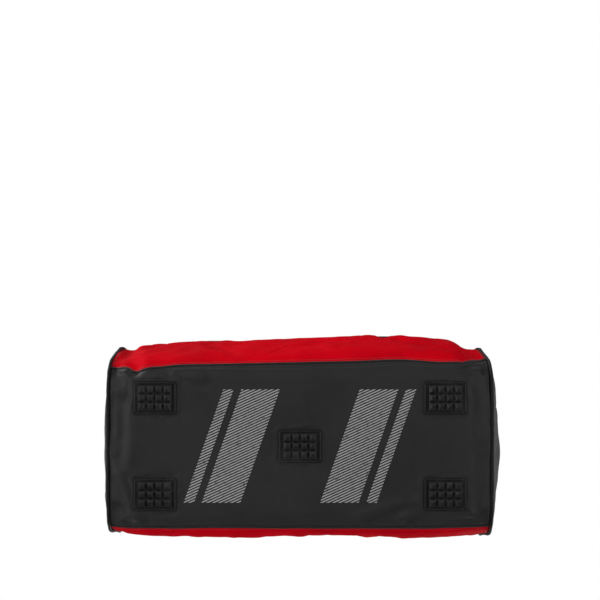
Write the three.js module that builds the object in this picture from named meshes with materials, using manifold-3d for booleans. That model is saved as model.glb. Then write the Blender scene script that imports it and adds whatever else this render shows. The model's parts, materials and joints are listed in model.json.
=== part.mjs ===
// A team sports bag for hockey kit: a soft holdall that stands on five moulded rubber feet.
// Millimetres, +Z up, +X along the bag, -Y towards its front. The origin is on the floor, under the middle.
import * as THREE from "three";
import { mergeVertices } from "three/addons/utils/BufferGeometryUtils.js";
import Module from "manifold-3d";

const wasm = await Module();
wasm.setup();

// ---- driving dimensions ----
const GAP = 0.3; // kept between pieces that touch
const SLACK = 0.1; // added to the gap where a flat piece faces a curved one
const CLOTH = 2.4; // fabric with its lining and seam allowance
const HALF_LENGTH = 300; // from the middle to an end seam
const WAIST = 150; // height of the widest line of the sides
const MIDDLE = { halfWidth: 166, below: 142, above: 167 }; // section at the middle of the bag
const END = { halfWidth: 150, below: 136, above: 150 }; // section at an end seam
const BASE_SQUARENESS = 4.6; // superellipse powers of the lower and upper half of the section
const TOP_SQUARENESS = 2.9;
const END_BULGE = 24; // how far an end panel swells past its seam
const SEAM_LOW = -45; // section angle of the seam between base and side, in degrees
const SEAM_HIGH = 48; // section angle of the seam between side and top

const OPENING = { halfX: 236, frontY: -96, backY: 91.5, corner: 46 };
const HINGE_Y = 88;
const ZIP_LINE_Y = -88;
const COIL = 2.7; // width of one half of the zip's coil
const TAPE_MARGIN = 6; // how far a zip's tape reaches under the fabric beside it
const END_TAB = { halfWidth: 13, near: 0.012, far: 0.095, thick: 1.6 }; // near and far are section angles

const FOOT = { x: 226, y: 75, height: 7.7, flange: [68, 52], block: [57, 45], pitch: 13 };
const BOARD = { size: [520, 180], thick: 3 };
const HANDLE = { x: 140, width: 38, cloth: 2.6, low: 212, high: 260, rise: 155, grip: 120, lean: 5 };
const POCKET = { height: 245, halfLength: 112, tapeWidth: 24 };
const RING = { barHeight: 240, width: 40, drop: 30, wire: 4, lean: 5 };
const RING_TAB = { width: 28, rise: 30, wall: 2, thick: 3.4, clearance: 0.5 };
const LINING = { thick: 1.6, margin: 8, above: 0.07, below: 0.35 }; // above and below are section angles
const SEAM_RADIUS = 150; // from the bag's axis to a lengthwise seam
const SIDE_RADIUS = 168; // from the bag's axis to its side at the pocket's zip

const degrees = Math.PI / 180;
const { lerp, smoothstep } = THREE.MathUtils;

// ---- the skin of the bag ----
// How full the bag is at a place along it: 1 at the middle, 0 at an end seam.
const fullness = (x, power) => 1 - Math.abs(x / HALF_LENGTH) ** power;

// A point of the skin: angle runs round the section from +Y towards +Z, outset is along the section's radius.
function skin(x, angle, outset = 0) {
  const side = fullness(x, 4);
  const upper = Math.sin(angle) > 0;
  const a = lerp(END.halfWidth, MIDDLE.halfWidth, side) + outset;
  const b =
    (upper
      ? lerp(END.above, MIDDLE.above, fullness(x, 8))
      : lerp(END.below, MIDDLE.below, side)) + outset;
  const n = upper ? TOP_SQUARENESS : BASE_SQUARENESS;
  const r =
    (Math.abs(Math.cos(angle) / a) ** n + Math.abs(Math.sin(angle) / b) ** n) ** (-1 / n);
  const p = new THREE.Vector3(x, r * Math.cos(angle), WAIST + r * Math.sin(angle));
  return upper ? p : pressFlat(p, outset);
}

// The board inside presses the base flat, from its middle out to a soft edge.
function pressFlat(p, outset) {
  const flat = WAIST - MIDDLE.below - outset;
  const free = Math.max(smoothstep(Math.abs(p.y), 102, 128), smoothstep(Math.abs(p.x), 260, 292));
  p.z = lerp(flat, p.z, free);
  return p;
}

// A place on the skin with its own axes: along the bag, across it (up the section), and out of it.
function skinFrame(x, angle, outset = 0) {
  const step = 0.02;
  const across = skin(0, angle - step).sub(skin(0, angle + step)).normalize();
  const along = new THREE.Vector3(1, 0, 0);
  return { at: skin(x, angle, outset), along, across, out: along.clone().cross(across) };
}

// The first section angle between the base seam and the top where the skin passes a test.
function angleWhere(test, x = 0) {
  let under = SEAM_LOW * degrees;
  let over = Math.PI / 2;
  for (let i = 0; i < 40; i++) {
    const mid = (under + over) / 2;
    if (test(skin(x, mid))) over = mid;
    else under = mid;
  }
  return over;
}
const angleAtHeight = (height, x = 0) => angleWhere((p) => p.z > height, x);
const angleAtDepth = (y, x = 0) => angleWhere((p) => p.z > WAIST && p.y < y, x);

// Moves each vertex of a geometry to where place(vertex) says.
function warp(geometry, place) {
  const at = geometry.attributes.position;
  const v = new THREE.Vector3();
  for (let i = 0; i < at.count; i++) {
    const p = place(v.fromBufferAttribute(at, i));
    at.setXYZ(i, p.x, p.y, p.z);
  }
  return geometry;
}

// A sheet on the skin between two section angles and two ends, with its outer face at outset.
function skinSheet({ x0, x1, angle0, angle1, outset = 0, thickness = CLOTH, nx = 16, na = 10 }) {
  return warp(new THREE.BoxGeometry(1, 1, 1, nx, na, 1), (v) =>
    skin(
      lerp(x0, x1, v.x + 0.5),
      lerp(angle1, angle0, v.y + 0.5),
      outset - thickness * (0.5 - v.z),
    ),
  );
}

// ---- solids ----
function solid(geometry) {
  const bare = geometry.clone();
  bare.deleteAttribute("normal");
  bare.deleteAttribute("uv");
  const merged = mergeVertices(bare, 1e-4);
  return new wasm.Manifold(
    new wasm.Mesh({
      numProp: 3,
      vertProperties: new Float32Array(merged.attributes.position.array),
      triVerts: new Uint32Array(merged.index.array),
    }),
  );
}

function geometryOf(body) {
  const mesh = body.getMesh();
  const made = new THREE.BufferGeometry();
  made.setAttribute("position", new THREE.BufferAttribute(mesh.vertProperties, 3));
  made.setIndex(new THREE.BufferAttribute(mesh.triVerts, 1));
  made.computeVertexNormals();
  return made;
}

// ---- materials ----
const material = (colour, roughness, metalness = 0) =>
  new THREE.MeshStandardMaterial({ color: colour, roughness, metalness });
const RED = material(0xba0215, 0.75);
const BLACK_CLOTH = material(0x252525, 0.6);
const BASE_CLOTH = material(0x272727, 0.5);
const PIPING = material(0x151515, 0.45);
const RUBBER = material(0x1c1c1c, 0.55);
const TAPE = material(0x1a1a1a, 0.8);
const COIL_PLASTIC = material(0x161616, 0.4);
const METAL = material(0x2a2b2d, 0.35, 0.9);
const WEBBING = material(0x1b1b1b, 0.8);
const BOARD_PLASTIC = material(0x303234, 0.7);

const bag = new THREE.Group();

function add(name, geometry, look, parent = bag) {
  const mesh = new THREE.Mesh(geometry, look);
  mesh.name = name;
  parent.add(mesh);
  return mesh;
}

// ---- fabric panels ----
const seamAngle = GAP / 2 / SEAM_RADIUS; // half the gap at a lengthwise seam
const INNER_X = HALF_LENGTH - GAP;
const low = SEAM_LOW * degrees;
const high = SEAM_HIGH * degrees;

add(
  "base_panel",
  skinSheet({
    x0: -INNER_X,
    x1: INNER_X,
    angle0: -Math.PI - low + seamAngle,
    angle1: low - seamAngle,
    na: 12,
  }),
  BASE_CLOTH,
);
add(
  "back_panel",
  skinSheet({ x0: -INNER_X, x1: INNER_X, angle0: low + seamAngle, angle1: high - seamAngle }),
  RED,
);
add(
  "front_panel",
  skinSheet({
    x0: -INNER_X,
    x1: INNER_X,
    angle0: Math.PI - high + seamAngle,
    angle1: Math.PI - low - seamAngle,
  }),
  RED,
);

// A sheet of the top, at a level below or above the skin, cut to a plan outline.
function topSheet(level, thickness, plan) {
  const sheet = skinSheet({
    x0: -INNER_X,
    x1: INNER_X,
    angle0: high + seamAngle,
    angle1: Math.PI - high - seamAngle,
    outset: level,
    thickness,
    nx: 20,
    na: 8,
  });
  return plan(solid(sheet));
}

// An upright prism over a plan outline: straight at the back, with two round front corners.
function prism({ halfX, frontY, backY, corner }) {
  const s = new THREE.Shape();
  s.moveTo(halfX, backY);
  s.lineTo(-halfX, backY);
  s.lineTo(-halfX, frontY + corner);
  s.absarc(-halfX + corner, frontY + corner, corner, Math.PI, 1.5 * Math.PI);
  s.absarc(halfX - corner, frontY + corner, corner, 1.5 * Math.PI, 2 * Math.PI);
  s.closePath();
  const made = new THREE.ExtrudeGeometry(s, { depth: 120, bevelEnabled: false, curveSegments: 6 });
  return solid(made.translate(0, 0, 240));
}

// The opening's outline, moved inwards by an amount on its three zipped sides.
const inwards = (by, backY) =>
  prism({
    halfX: OPENING.halfX - by,
    frontY: OPENING.frontY + by,
    backY,
    corner: OPENING.corner - by,
  });

const zipIn = ZIP_LINE_Y - OPENING.frontY; // from the opening's edge to the line between the coils
const lidIn = 2 * zipIn; // from the opening's edge to the edge of the lid's fabric
const lidBack = HINGE_Y - GAP;
const TAPE_LEVEL = -CLOTH - GAP;
const TAPE_CLOTH = 0.9;
const COIL_LEVEL = -1.2;
const COIL_HEIGHT = 3;
const PAST = 20; // how far a cutting outline runs past the open back of a U

add(
  "top_surround",
  geometryOf(topSheet(0, CLOTH, (s) => s.subtract(inwards(0, OPENING.backY)))),
  RED,
);
add("lid_panel", geometryOf(topSheet(0, CLOTH, (s) => s.intersect(inwards(lidIn, lidBack)))), RED);
add(
  "body_zip_tape",
  geometryOf(
    topSheet(TAPE_LEVEL, TAPE_CLOTH, (s) =>
      s
        .intersect(inwards(-TAPE_MARGIN, OPENING.backY - 1))
        .subtract(inwards(zipIn - GAP / 2 - COIL - GAP, OPENING.backY + PAST)),
    ),
  ),
  TAPE,
);
add(
  "body_zip_coil",
  geometryOf(
    topSheet(COIL_LEVEL, COIL_HEIGHT, (s) =>
      s
        .intersect(inwards(zipIn - GAP / 2 - COIL, OPENING.backY - 1))
        .subtract(inwards(zipIn - GAP / 2, OPENING.backY + PAST)),
    ),
  ),
  COIL_PLASTIC,
);
add(
  "lid_zip_coil",
  geometryOf(
    topSheet(COIL_LEVEL, COIL_HEIGHT, (s) =>
      s
        .intersect(inwards(zipIn + GAP / 2, lidBack))
        .subtract(inwards(zipIn + GAP / 2 + COIL, lidBack + PAST)),
    ),
  ),
  COIL_PLASTIC,
);
add(
  "lid_zip_tape",
  geometryOf(
    topSheet(TAPE_LEVEL, TAPE_CLOTH, (s) =>
      s
        .intersect(inwards(zipIn + GAP / 2 + COIL + GAP, lidBack))
        .subtract(inwards(lidIn + TAPE_MARGIN, lidBack + PAST)),
    ),
  ),
  TAPE,
);

// Tabs that cover the ends of the zip, behind the hinge line.
for (const [name, side] of [["zip_end_tab_left", -1], ["zip_end_tab_right", 1]]) {
  const middle = side * (OPENING.halfX - zipIn);
  const edge = Math.atan2(skin(middle, 1.1).z - WAIST, OPENING.backY);
  add(
    name,
    skinSheet({
      x0: middle - END_TAB.halfWidth,
      x1: middle + END_TAB.halfWidth,
      angle0: edge - END_TAB.far,
      angle1: edge - END_TAB.near,
      outset: END_TAB.thick + GAP,
      thickness: END_TAB.thick,
      nx: 1,
      na: 2,
    }),
    WEBBING,
  );
}

// ---- ends and piping ----
// An end panel: a shallow dome over the end section. reach is the share of the way from its middle to its rim.
const dome = (reach) => END_BULGE * (1 - Math.abs(reach) ** 2.5);

function endPanel(side) {
  const steps = [0, 0.3, 0.52, 0.7, 0.86, 1];
  const inner = steps.map((r) => new THREE.Vector2(r, GAP + dome(r)));
  const outer = steps.map((r) => new THREE.Vector2(r, GAP + CLOTH + dome(r))).reverse();
  const lathe = new THREE.LatheGeometry([...inner, ...outer], 36);
  return warp(lathe, (v) => {
    const rim = skin(side * HALF_LENGTH, Math.atan2(v.x, v.z * side));
    const r = Math.hypot(v.x, v.z);
    return new THREE.Vector3(
      side * (HALF_LENGTH + v.y),
      rim.y * r,
      WAIST + (rim.z - WAIST) * r,
    );
  });
}

// Cord piping round an end seam.
function piping(side) {
  const radius = 2.5;
  const ring = [];
  const steps = 48;
  for (let i = 0; i < steps; i++)
    ring.push(skin(side * HALF_LENGTH, (i / steps) * 2 * Math.PI, radius + GAP + 0.2));
  const path = new THREE.CatmullRomCurve3(ring, true);
  return new THREE.TubeGeometry(path, steps, radius, 6, true);
}

for (const [word, side] of [["left", -1], ["right", 1]]) {
  add(word + "_end_panel", endPanel(side), BLACK_CLOTH);
  add(word + "_piping", piping(side), PIPING);
}

// ---- base: feet and stiffening board ----
function roundedBox([width, length], height, corner) {
  const s = new THREE.Shape();
  const x = width / 2 - corner;
  const y = length / 2 - corner;
  s.absarc(x, y, corner, 0, Math.PI / 2);
  s.absarc(-x, y, corner, Math.PI / 2, Math.PI);
  s.absarc(-x, -y, corner, Math.PI, 1.5 * Math.PI);
  s.absarc(x, -y, corner, 1.5 * Math.PI, 2 * Math.PI);
  s.closePath();
  return new THREE.ExtrudeGeometry(s, { depth: height, bevelEnabled: false, curveSegments: 3 });
}

// A moulded foot: a sewn flange, a raised block, and a grid of four by three blunt pyramids pointing down.
function foot() {
  const flangeHeight = 1.8;
  const blockHeight = 1.9;
  const studHeight = FOOT.height - flangeHeight - blockHeight;
  let body = solid(
    roundedBox(FOOT.flange, flangeHeight, 4).translate(0, 0, FOOT.height - flangeHeight),
  );
  body = body.add(
    solid(roundedBox(FOOT.block, blockHeight + 0.5, 2).translate(0, 0, studHeight)),
  );
  const tip = 1.7;
  const root = FOOT.pitch / 2 - 0.3;
  for (let i = 0; i < 4; i++)
    for (let j = 0; j < 3; j++) {
      const stud = new THREE.CylinderGeometry(
        root * Math.SQRT2,
        tip * Math.SQRT2,
        studHeight + 0.4,
        4,
      );
      stud.rotateY(Math.PI / 4).rotateX(Math.PI / 2);
      stud.translate(
        (i - 1.5) * FOOT.pitch,
        (j - 1) * FOOT.pitch,
        (studHeight + 0.4) / 2,
      );
      body = body.add(solid(stud));
    }
  return geometryOf(body);
}

const footPlaces = {
  foot_centre: [0, 0],
  foot_front_left: [-FOOT.x, -FOOT.y],
  foot_front_right: [FOOT.x, -FOOT.y],
  foot_back_left: [-FOOT.x, FOOT.y],
  foot_back_right: [FOOT.x, FOOT.y],
};
for (const [name, [x, y]] of Object.entries(footPlaces))
  add(name, foot(), RUBBER).position.set(x, y, 0);

const board = add("base_board", roundedBox(BOARD.size, BOARD.thick, 12), BOARD_PLASTIC);
board.position.z = WAIST - MIDDLE.below + CLOTH + GAP + SLACK;

// ---- zip sliders and their pulls ----
// A slider in its own frame: X along the zip, Z away from the fabric. The pull's pin lies along Y.
const SLIDER = { plate: [18, 12, 2], bridge: [10, 3, 4.6], pinHeight: 3.6, pinRadius: 0.9 };

function sliderBody() {
  const [length, width, thick] = SLIDER.plate;
  const s = new THREE.Shape();
  s.moveTo(length / 2, width / 2 - 3);
  s.quadraticCurveTo(length / 2 - 1, width / 2, length / 2 - 4, width / 2);
  s.lineTo(-length / 2 + 1, width / 2 - 1.5);
  s.lineTo(-length / 2 + 1, -width / 2 + 1.5);
  s.lineTo(length / 2 - 4, -width / 2);
  s.quadraticCurveTo(length / 2 - 1, -width / 2, length / 2, -width / 2 + 3);
  s.closePath();
  const plate = new THREE.ExtrudeGeometry(s, {
    depth: thick,
    bevelEnabled: false,
    curveSegments: 3,
  });
  const [run, across, rise] = SLIDER.bridge;
  const b = new THREE.Shape();
  b.moveTo(-run / 2, -0.3);
  b.lineTo(run / 2, -0.3);
  b.lineTo(run / 2, rise - 1.4);
  b.lineTo(run / 2 - 1.8, rise);
  b.lineTo(-run / 2 + 1.8, rise);
  b.lineTo(-run / 2, rise - 1.4);
  b.closePath();
  const hole = new THREE.Path();
  hole.absarc(0, SLIDER.pinHeight - thick, SLIDER.pinRadius + 0.4, 0, 2 * Math.PI, true);
  b.holes.push(hole);
  const bridge = new THREE.ExtrudeGeometry(b, {
    depth: across,
    bevelEnabled: false,
    curveSegments: 8,
  });
  bridge.translate(0, 0, -across / 2).rotateX(Math.PI / 2).translate(0, 0, thick);
  return geometryOf(solid(plate).add(solid(bridge)));
}

// A pull lying flat towards +X, with its pin at the origin.
function pull(length = 34) {
  const armInner = SLIDER.bridge[1] / 2 + 0.5;
  const pin = new THREE.CylinderGeometry(SLIDER.pinRadius, SLIDER.pinRadius, 2 * armInner + 1, 10);
  let body = solid(pin);
  for (const side of [-1, 1]) {
    const arm = new THREE.BoxGeometry(9.5, 1.4, 1.8);
    arm.translate(3.7, side * (armInner + 0.7), 0);
    body = body.add(solid(arm));
  }
  const tab = new THREE.Shape();
  tab.moveTo(7.6, -3.4);
  tab.lineTo(length - 4, -4.4);
  tab.quadraticCurveTo(length, -4.4, length, 0);
  tab.quadraticCurveTo(length, 4.4, length - 4, 4.4);
  tab.lineTo(7.6, 3.4);
  tab.closePath();
  const slot = new THREE.Path();
  slot.absarc(length - 7, 0, 2, 0, 2 * Math.PI, true);
  tab.holes.push(slot);
  const plate = new THREE.ExtrudeGeometry(tab, {
    depth: 1.6,
    bevelEnabled: false,
    curveSegments: 5,
  });
  return geometryOf(body.add(solid(plate.translate(0, 0, -0.8))));
}

// Adds a slider and its pull at a place on the skin. The pull lies towards the side given.
function addSlider(sliderName, pullName, frame, side) {
  const seat = new THREE.Group();
  const axes = new THREE.Matrix4().makeBasis(frame.along, frame.across, frame.out);
  seat.position.copy(frame.at);
  seat.quaternion.setFromRotationMatrix(axes);
  bag.add(seat);
  const turn = side > 0 ? 0 : Math.PI;
  add(sliderName, sliderBody(), METAL, seat).rotation.z = turn + Math.PI;
  const laid = add(pullName, pull(), METAL, seat);
  laid.position.z = SLIDER.pinHeight;
  laid.rotation.z = turn;
}

// The lid's two sliders meet at the middle of the zip's front run.
const SLIDER_START = 12;
const frontRunAngle = Math.PI - angleAtDepth(-ZIP_LINE_Y);
const sliderLevel = COIL_LEVEL + GAP + SLACK;
for (const [word, side] of [["left", -1], ["right", 1]])
  addSlider(
    "lid_slider_" + word,
    "lid_pull_" + word,
    skinFrame(side * SLIDER_START, frontRunAngle, sliderLevel),
    side,
  );

// ---- front pocket: a zip set into the front panel, and its flat lining inside ----
const pocketAngle = Math.PI - angleAtHeight(POCKET.height);
const pocketHalfAngle = POCKET.tapeWidth / 2 / SIDE_RADIUS;
const coilHalfAngle = COIL / SIDE_RADIUS;
const TAPE_OUT = 1.2;
const POCKET_COIL_HEIGHT = 1.8;
add(
  "pocket_zip_tape",
  skinSheet({
    x0: -POCKET.halfLength - TAPE_MARGIN,
    x1: POCKET.halfLength + TAPE_MARGIN,
    angle0: pocketAngle - pocketHalfAngle,
    angle1: pocketAngle + pocketHalfAngle,
    outset: TAPE_OUT,
    thickness: TAPE_OUT - GAP,
    nx: 8,
    na: 2,
  }),
  TAPE,
);
add(
  "pocket_zip_coil",
  skinSheet({
    x0: -POCKET.halfLength,
    x1: POCKET.halfLength,
    angle0: pocketAngle - coilHalfAngle,
    angle1: pocketAngle + coilHalfAngle,
    outset: TAPE_OUT + GAP + POCKET_COIL_HEIGHT,
    thickness: POCKET_COIL_HEIGHT,
    nx: 8,
    na: 1,
  }),
  COIL_PLASTIC,
);
add(
  "pocket_lining",
  skinSheet({
    x0: -POCKET.halfLength - LINING.margin,
    x1: POCKET.halfLength + LINING.margin,
    angle0: pocketAngle - LINING.above,
    angle1: Math.PI - low - LINING.below,
    outset: -CLOTH - 1,
    thickness: LINING.thick,
    nx: 8,
    na: 8,
  }),
  TAPE,
);

const pocketTop = TAPE_OUT + GAP + POCKET_COIL_HEIGHT + GAP + SLACK;
addSlider(
  "pocket_slider",
  "pocket_pull",
  skinFrame(-POCKET.halfLength + 16, pocketAngle, pocketTop),
  1,
);

// ---- carry handles ----
// A flat strap along a curve. turnAt gives how far its width has turned from lying across the curve in the XY plane.
function strap(curve, steps, widthAt, turnAt, thickness) {
  const box = new THREE.BoxGeometry(1, 1, 1, 1, 1, steps);
  return warp(box, (v) => {
    const t = v.z + 0.5;
    const along = curve.getTangentAt(t);
    const face = new THREE.Vector3(0, 0, 1);
    const across = along.clone().cross(face).normalize();
    const turn = turnAt(t);
    const width = across.clone().multiplyScalar(Math.cos(turn)).addScaledVector(face, Math.sin(turn));
    const depth = along.clone().cross(width).normalize();
    return curve
      .getPointAt(t)
      .addScaledVector(width, v.x * widthAt(t))
      .addScaledVector(depth, v.y * thickness);
  });
}

// The loop of a handle in its own plane: X along the bag, Y up from the anchors.
const halfGrip = HANDLE.grip / 2;
const loopPoints = [
  [-HANDLE.x, 1],
  [-HANDLE.x + 2, 34],
  [-HANDLE.x + 12, 78],
  [-HANDLE.x + 34, 118],
  [-halfGrip - 22, HANDLE.rise - 13],
  [-halfGrip - 4, HANDLE.rise - 1],
  [-halfGrip + 14, HANDLE.rise],
];
const loop = new THREE.CatmullRomCurve3(
  [
    ...loopPoints,
    [0, HANDLE.rise],
    ...loopPoints.map(([x, y]) => [-x, y]).reverse(),
  ].map(([x, y]) => new THREE.Vector3(x, y, 0)),
  false,
  "centripetal",
);

function handleLoop() {
  const fade = (t) => smoothstep(Math.min(t, 1 - t), 0.1, 0.34);
  return strap(
    loop,
    40,
    (t) => lerp(HANDLE.width, 22, fade(t)),
    (t) => (fade(t) * Math.PI) / 2,
    HANDLE.cloth,
  );
}

// A padded sleeve round the top of a handle, open at both ends for the strap.
function grip() {
  const inner = 11.6;
  const outer = 15;
  const half = halfGrip - 6;
  const profile = [
    [inner, -half],
    [outer - 2, -half],
    [outer, -half + 3],
    [outer, half - 3],
    [outer - 2, half],
    [inner, half],
    [inner, -half],
  ].map(([x, y]) => new THREE.Vector2(x, y));
  return new THREE.LatheGeometry(profile, 16).rotateZ(Math.PI / 2);
}

const anchorLow = angleAtHeight(HANDLE.low, HANDLE.x);
const anchorHigh = angleAtHeight(HANDLE.high, HANDLE.x);
const hinge = skin(
  HANDLE.x,
  angleAtHeight(HANDLE.high + 1, HANDLE.x),
  2 * GAP + 1.5 * HANDLE.cloth,
);
for (const [word, side] of [["front", -1], ["back", 1]]) {
  for (const [end, x] of [["left", -HANDLE.x], ["right", HANDLE.x]])
    add(
      `handle_anchor_${word}_${end}`,
      skinSheet({
        x0: x - HANDLE.width / 2,
        x1: x + HANDLE.width / 2,
        angle0: side > 0 ? anchorLow : Math.PI - anchorHigh,
        angle1: side > 0 ? anchorHigh : Math.PI - anchorLow,
        outset: GAP + HANDLE.cloth,
        thickness: HANDLE.cloth,
        nx: 1,
        na: 5,
      }),
      WEBBING,
    );
  const swing = new THREE.Group();
  swing.position.set(0, side * hinge.y, hinge.z);
  swing.rotation.x = side * HANDLE.lean * degrees;
  bag.add(swing);
  const upright = new THREE.Group();
  upright.rotation.x = Math.PI / 2;
  swing.add(upright);
  add(word + "_handle_strap", handleLoop(), WEBBING, upright);
  add(word + "_handle_grip", grip(), BLACK_CLOTH, upright).position.y = HANDLE.rise;
}

// ---- rings for a shoulder strap ----
// A D of round wire in the YZ plane, hanging from a straight bar at the origin.
function ringLoop() {
  const half = (RING.width - RING.wire) / 2;
  const bend = 3;
  const straight = RING.drop - half - RING.wire / 2;
  const outline = new THREE.Path();
  outline.moveTo(0, 0);
  outline.absarc(half - bend, -bend, bend, Math.PI / 2, 0, true);
  outline.absarc(0, -straight, half, 0, -Math.PI, true);
  outline.absarc(bend - half, -bend, bend, Math.PI, Math.PI / 2, true);
  outline.lineTo(0, 0);
  const points = outline.getSpacedPoints(44).slice(0, -1);
  const path = new THREE.CatmullRomCurve3(
    points.map((p) => new THREE.Vector3(0, p.x, p.y)),
    true,
  );
  return new THREE.TubeGeometry(path, 36, RING.wire / 2, 7, true);
}

// The skin of an end dome at a height, on the bag's middle line.
const domeX = (height) =>
  HALF_LENGTH + GAP + CLOTH + dome((height - WAIST) / (height > WAIST ? END.above : END.below));

// A folded webbing tab, seen along Y: flat on the end panel, with an eye for the ring's bar.
function ringTab(barX) {
  const eye = RING.wire / 2 + RING_TAB.clearance;
  const wall = eye + RING_TAB.wall;
  const top = RING.barHeight + RING_TAB.rise;
  const back = domeX(top) + GAP + 4 * SLACK;
  const s = new THREE.Shape();
  s.moveTo(back, top);
  s.lineTo(back + RING_TAB.thick, top - 1);
  s.absarc(barX, RING.barHeight, wall, 0.6, -Math.PI - 0.15, true);
  s.closePath();
  const hole = new THREE.Path();
  hole.absarc(barX, RING.barHeight, eye, 0, 2 * Math.PI);
  s.holes.push(hole);
  const tab = new THREE.ExtrudeGeometry(s, {
    depth: RING_TAB.width,
    bevelEnabled: false,
    curveSegments: 6,
  });
  return tab.translate(0, 0, -RING_TAB.width / 2).rotateX(Math.PI / 2);
}

const eyeRadius = RING.wire / 2 + RING_TAB.clearance + RING_TAB.wall;
const barX = domeX(RING.barHeight) + 3 * GAP + eyeRadius;
for (const [word, side] of [["left", -1], ["right", 1]]) {
  const mirror = new THREE.Group();
  mirror.rotation.z = side > 0 ? 0 : Math.PI;
  bag.add(mirror);
  add(word + "_ring_tab", ringTab(barX), WEBBING, mirror);
  const ring = add(word + "_d_ring", ringLoop(), METAL, mirror);
  ring.position.set(barX, 0, RING.barHeight);
  ring.rotation.y = -RING.lean * degrees;
}

export default bag;
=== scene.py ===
"""A soft sports holdall on moulded rubber feet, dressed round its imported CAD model.

Shapes are worked out in millimetres on the bag's skin and turned into metres where a mesh is made.
"""

import json
import math

import bpy
import numpy as np
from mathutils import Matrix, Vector

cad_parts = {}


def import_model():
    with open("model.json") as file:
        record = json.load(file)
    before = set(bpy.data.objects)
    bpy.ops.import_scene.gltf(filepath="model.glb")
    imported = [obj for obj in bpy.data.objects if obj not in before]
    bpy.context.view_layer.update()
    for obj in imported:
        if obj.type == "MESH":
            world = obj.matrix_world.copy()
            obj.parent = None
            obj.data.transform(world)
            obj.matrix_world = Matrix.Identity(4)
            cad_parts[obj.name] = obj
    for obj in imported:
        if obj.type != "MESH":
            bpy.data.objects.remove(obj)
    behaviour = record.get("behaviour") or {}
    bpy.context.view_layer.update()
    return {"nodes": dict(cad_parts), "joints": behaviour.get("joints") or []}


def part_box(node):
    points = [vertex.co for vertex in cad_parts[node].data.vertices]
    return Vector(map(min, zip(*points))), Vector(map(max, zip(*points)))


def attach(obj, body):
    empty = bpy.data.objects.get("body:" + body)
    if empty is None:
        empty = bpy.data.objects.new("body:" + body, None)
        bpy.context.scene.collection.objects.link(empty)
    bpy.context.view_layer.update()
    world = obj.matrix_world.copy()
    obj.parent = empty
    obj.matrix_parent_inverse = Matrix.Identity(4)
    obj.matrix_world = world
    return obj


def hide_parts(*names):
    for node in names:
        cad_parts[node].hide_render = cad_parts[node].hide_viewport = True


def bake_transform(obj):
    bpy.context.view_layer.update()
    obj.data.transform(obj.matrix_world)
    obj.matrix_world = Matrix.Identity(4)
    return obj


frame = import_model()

MM = 0.001


def box_mm(node):
    """The lowest and highest corner of a CAD node, in millimetres."""
    low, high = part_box(node)
    return np.array(low) / MM, np.array(high) / MM


def joint_mm(name):
    """A point on a joint's axis, in millimetres."""
    row = next(joint for joint in frame["joints"] if joint["name"] == name)
    return np.array(row["pos_m"]) / MM


# ---- camera: square on to the base from below, a little behind the bag ----
def make_camera():
    distance_to_base, behind_back, focal_length = 2.0, 0.061, 77.2
    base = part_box("base_panel")[0].z
    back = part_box("back_panel")[1].y
    data = bpy.data.cameras.new("camera")
    data.lens = focal_length
    camera = bpy.data.objects.new("camera", data)
    camera.location = (0, back + behind_back, base - distance_to_base)
    camera.rotation_euler = (math.pi, 0, math.pi)
    bpy.context.scene.collection.objects.link(camera)
    bpy.context.scene.camera = camera


make_camera()

# ---- driving dimensions, in millimetres ----
HALF_LENGTH = (box_mm("right_piping")[0][0] + box_mm("right_piping")[1][0]) / 2
FLAT = box_mm("base_panel")[0][2]  # height of the base's cloth
# From here to ZIP_CORNER, apart from CLOTH, these repeat or follow the CAD's own dimensions, given as
# numbers.
WAIST = 150  # height of the widest line of the sides
MIDDLE = {"half_width": 166, "below": 142, "above": 167}  # section at the middle of the bag
END = {"half_width": 150, "below": 136, "above": 150}  # section at an end seam
BASE_SQUARENESS = 4.6  # superellipse powers of the lower and upper half of the section
TOP_SQUARENESS = 2.9
CLOTH = 1.8  # thickness of a panel with its lining
SEAM_LOW = math.radians(-45)  # section angles of the seams between base and side, and side and top
SEAM_HIGH = math.radians(48)
ZIP_HALF_X = 228  # the zip's line round the lid
ZIP_Y = -88
ZIP_CORNER = 38
HINGE_Y = joint_mm("lid_hinge")[1]

# How the cloth has settled: half widths at the waist, and how far up each seam of the base has turned, in
# degrees. The frame doesn't give these. They are readings of the photo's outline, turned into millimetres.
BACK_HALF_WIDTH = [
    (-300, 143.5), (-270, 147), (-245, 160), (-225, 162.5), (-170, 165), (-60, 165), (0, 163.5),
    (50, 160.5), (100, 157.5), (200, 155.5), (250, 151.5), (268, 147), (283, 141), (300, 145),
]
FRONT_HALF_WIDTH = [(-300, 162), (-270, 165), (0, 164.5), (170, 167), (270, 162.5), (300, 157)]
BACK_SEAM_TURN = [
    (-300, 15), (-282, 12), (-266, 7), (-250, 2.5), (-233, 1.3), (-160, 1.6), (-93, 0.6), (0, 0),
    (120, 0), (195, -0.5), (225, -1.4), (247, -2.2), (259, -1.6), (271, 0.6), (285, 2.2),
    (300, 2.5),
]
FRONT_SEAM_TURN = [(-300, 2), (-240, 0.5), (0, 0), (240, 1), (280, 2.8), (300, 3)]
LEFT_BULGE = 27.5  # how far each end panel has swollen past its seam, from the photo's outline
RIGHT_BULGE = 16.5
CAD_BULGE = 24  # the same in the CAD, which the ring tabs are sewn to
BULGE_POWER = 2.7
END_OUTSET = 1.6  # from the end seam to the edge of an end panel
TUCK = 12  # how far the sides stand in just above the base
UP = np.array([0, 0, 1.0])
ALONG = np.array([1.0, 0, 0])


def smoothstep(t, low=0.0, high=1.0):
    t = np.clip((np.asarray(t, float) - low) / (high - low), 0, 1)
    return t * t * (3 - 2 * t)


def mix(a, b, t):
    return a + (b - a) * t


def unit(v):
    return v / np.maximum(np.linalg.norm(v, axis=-1, keepdims=True), 1e-12)


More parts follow.
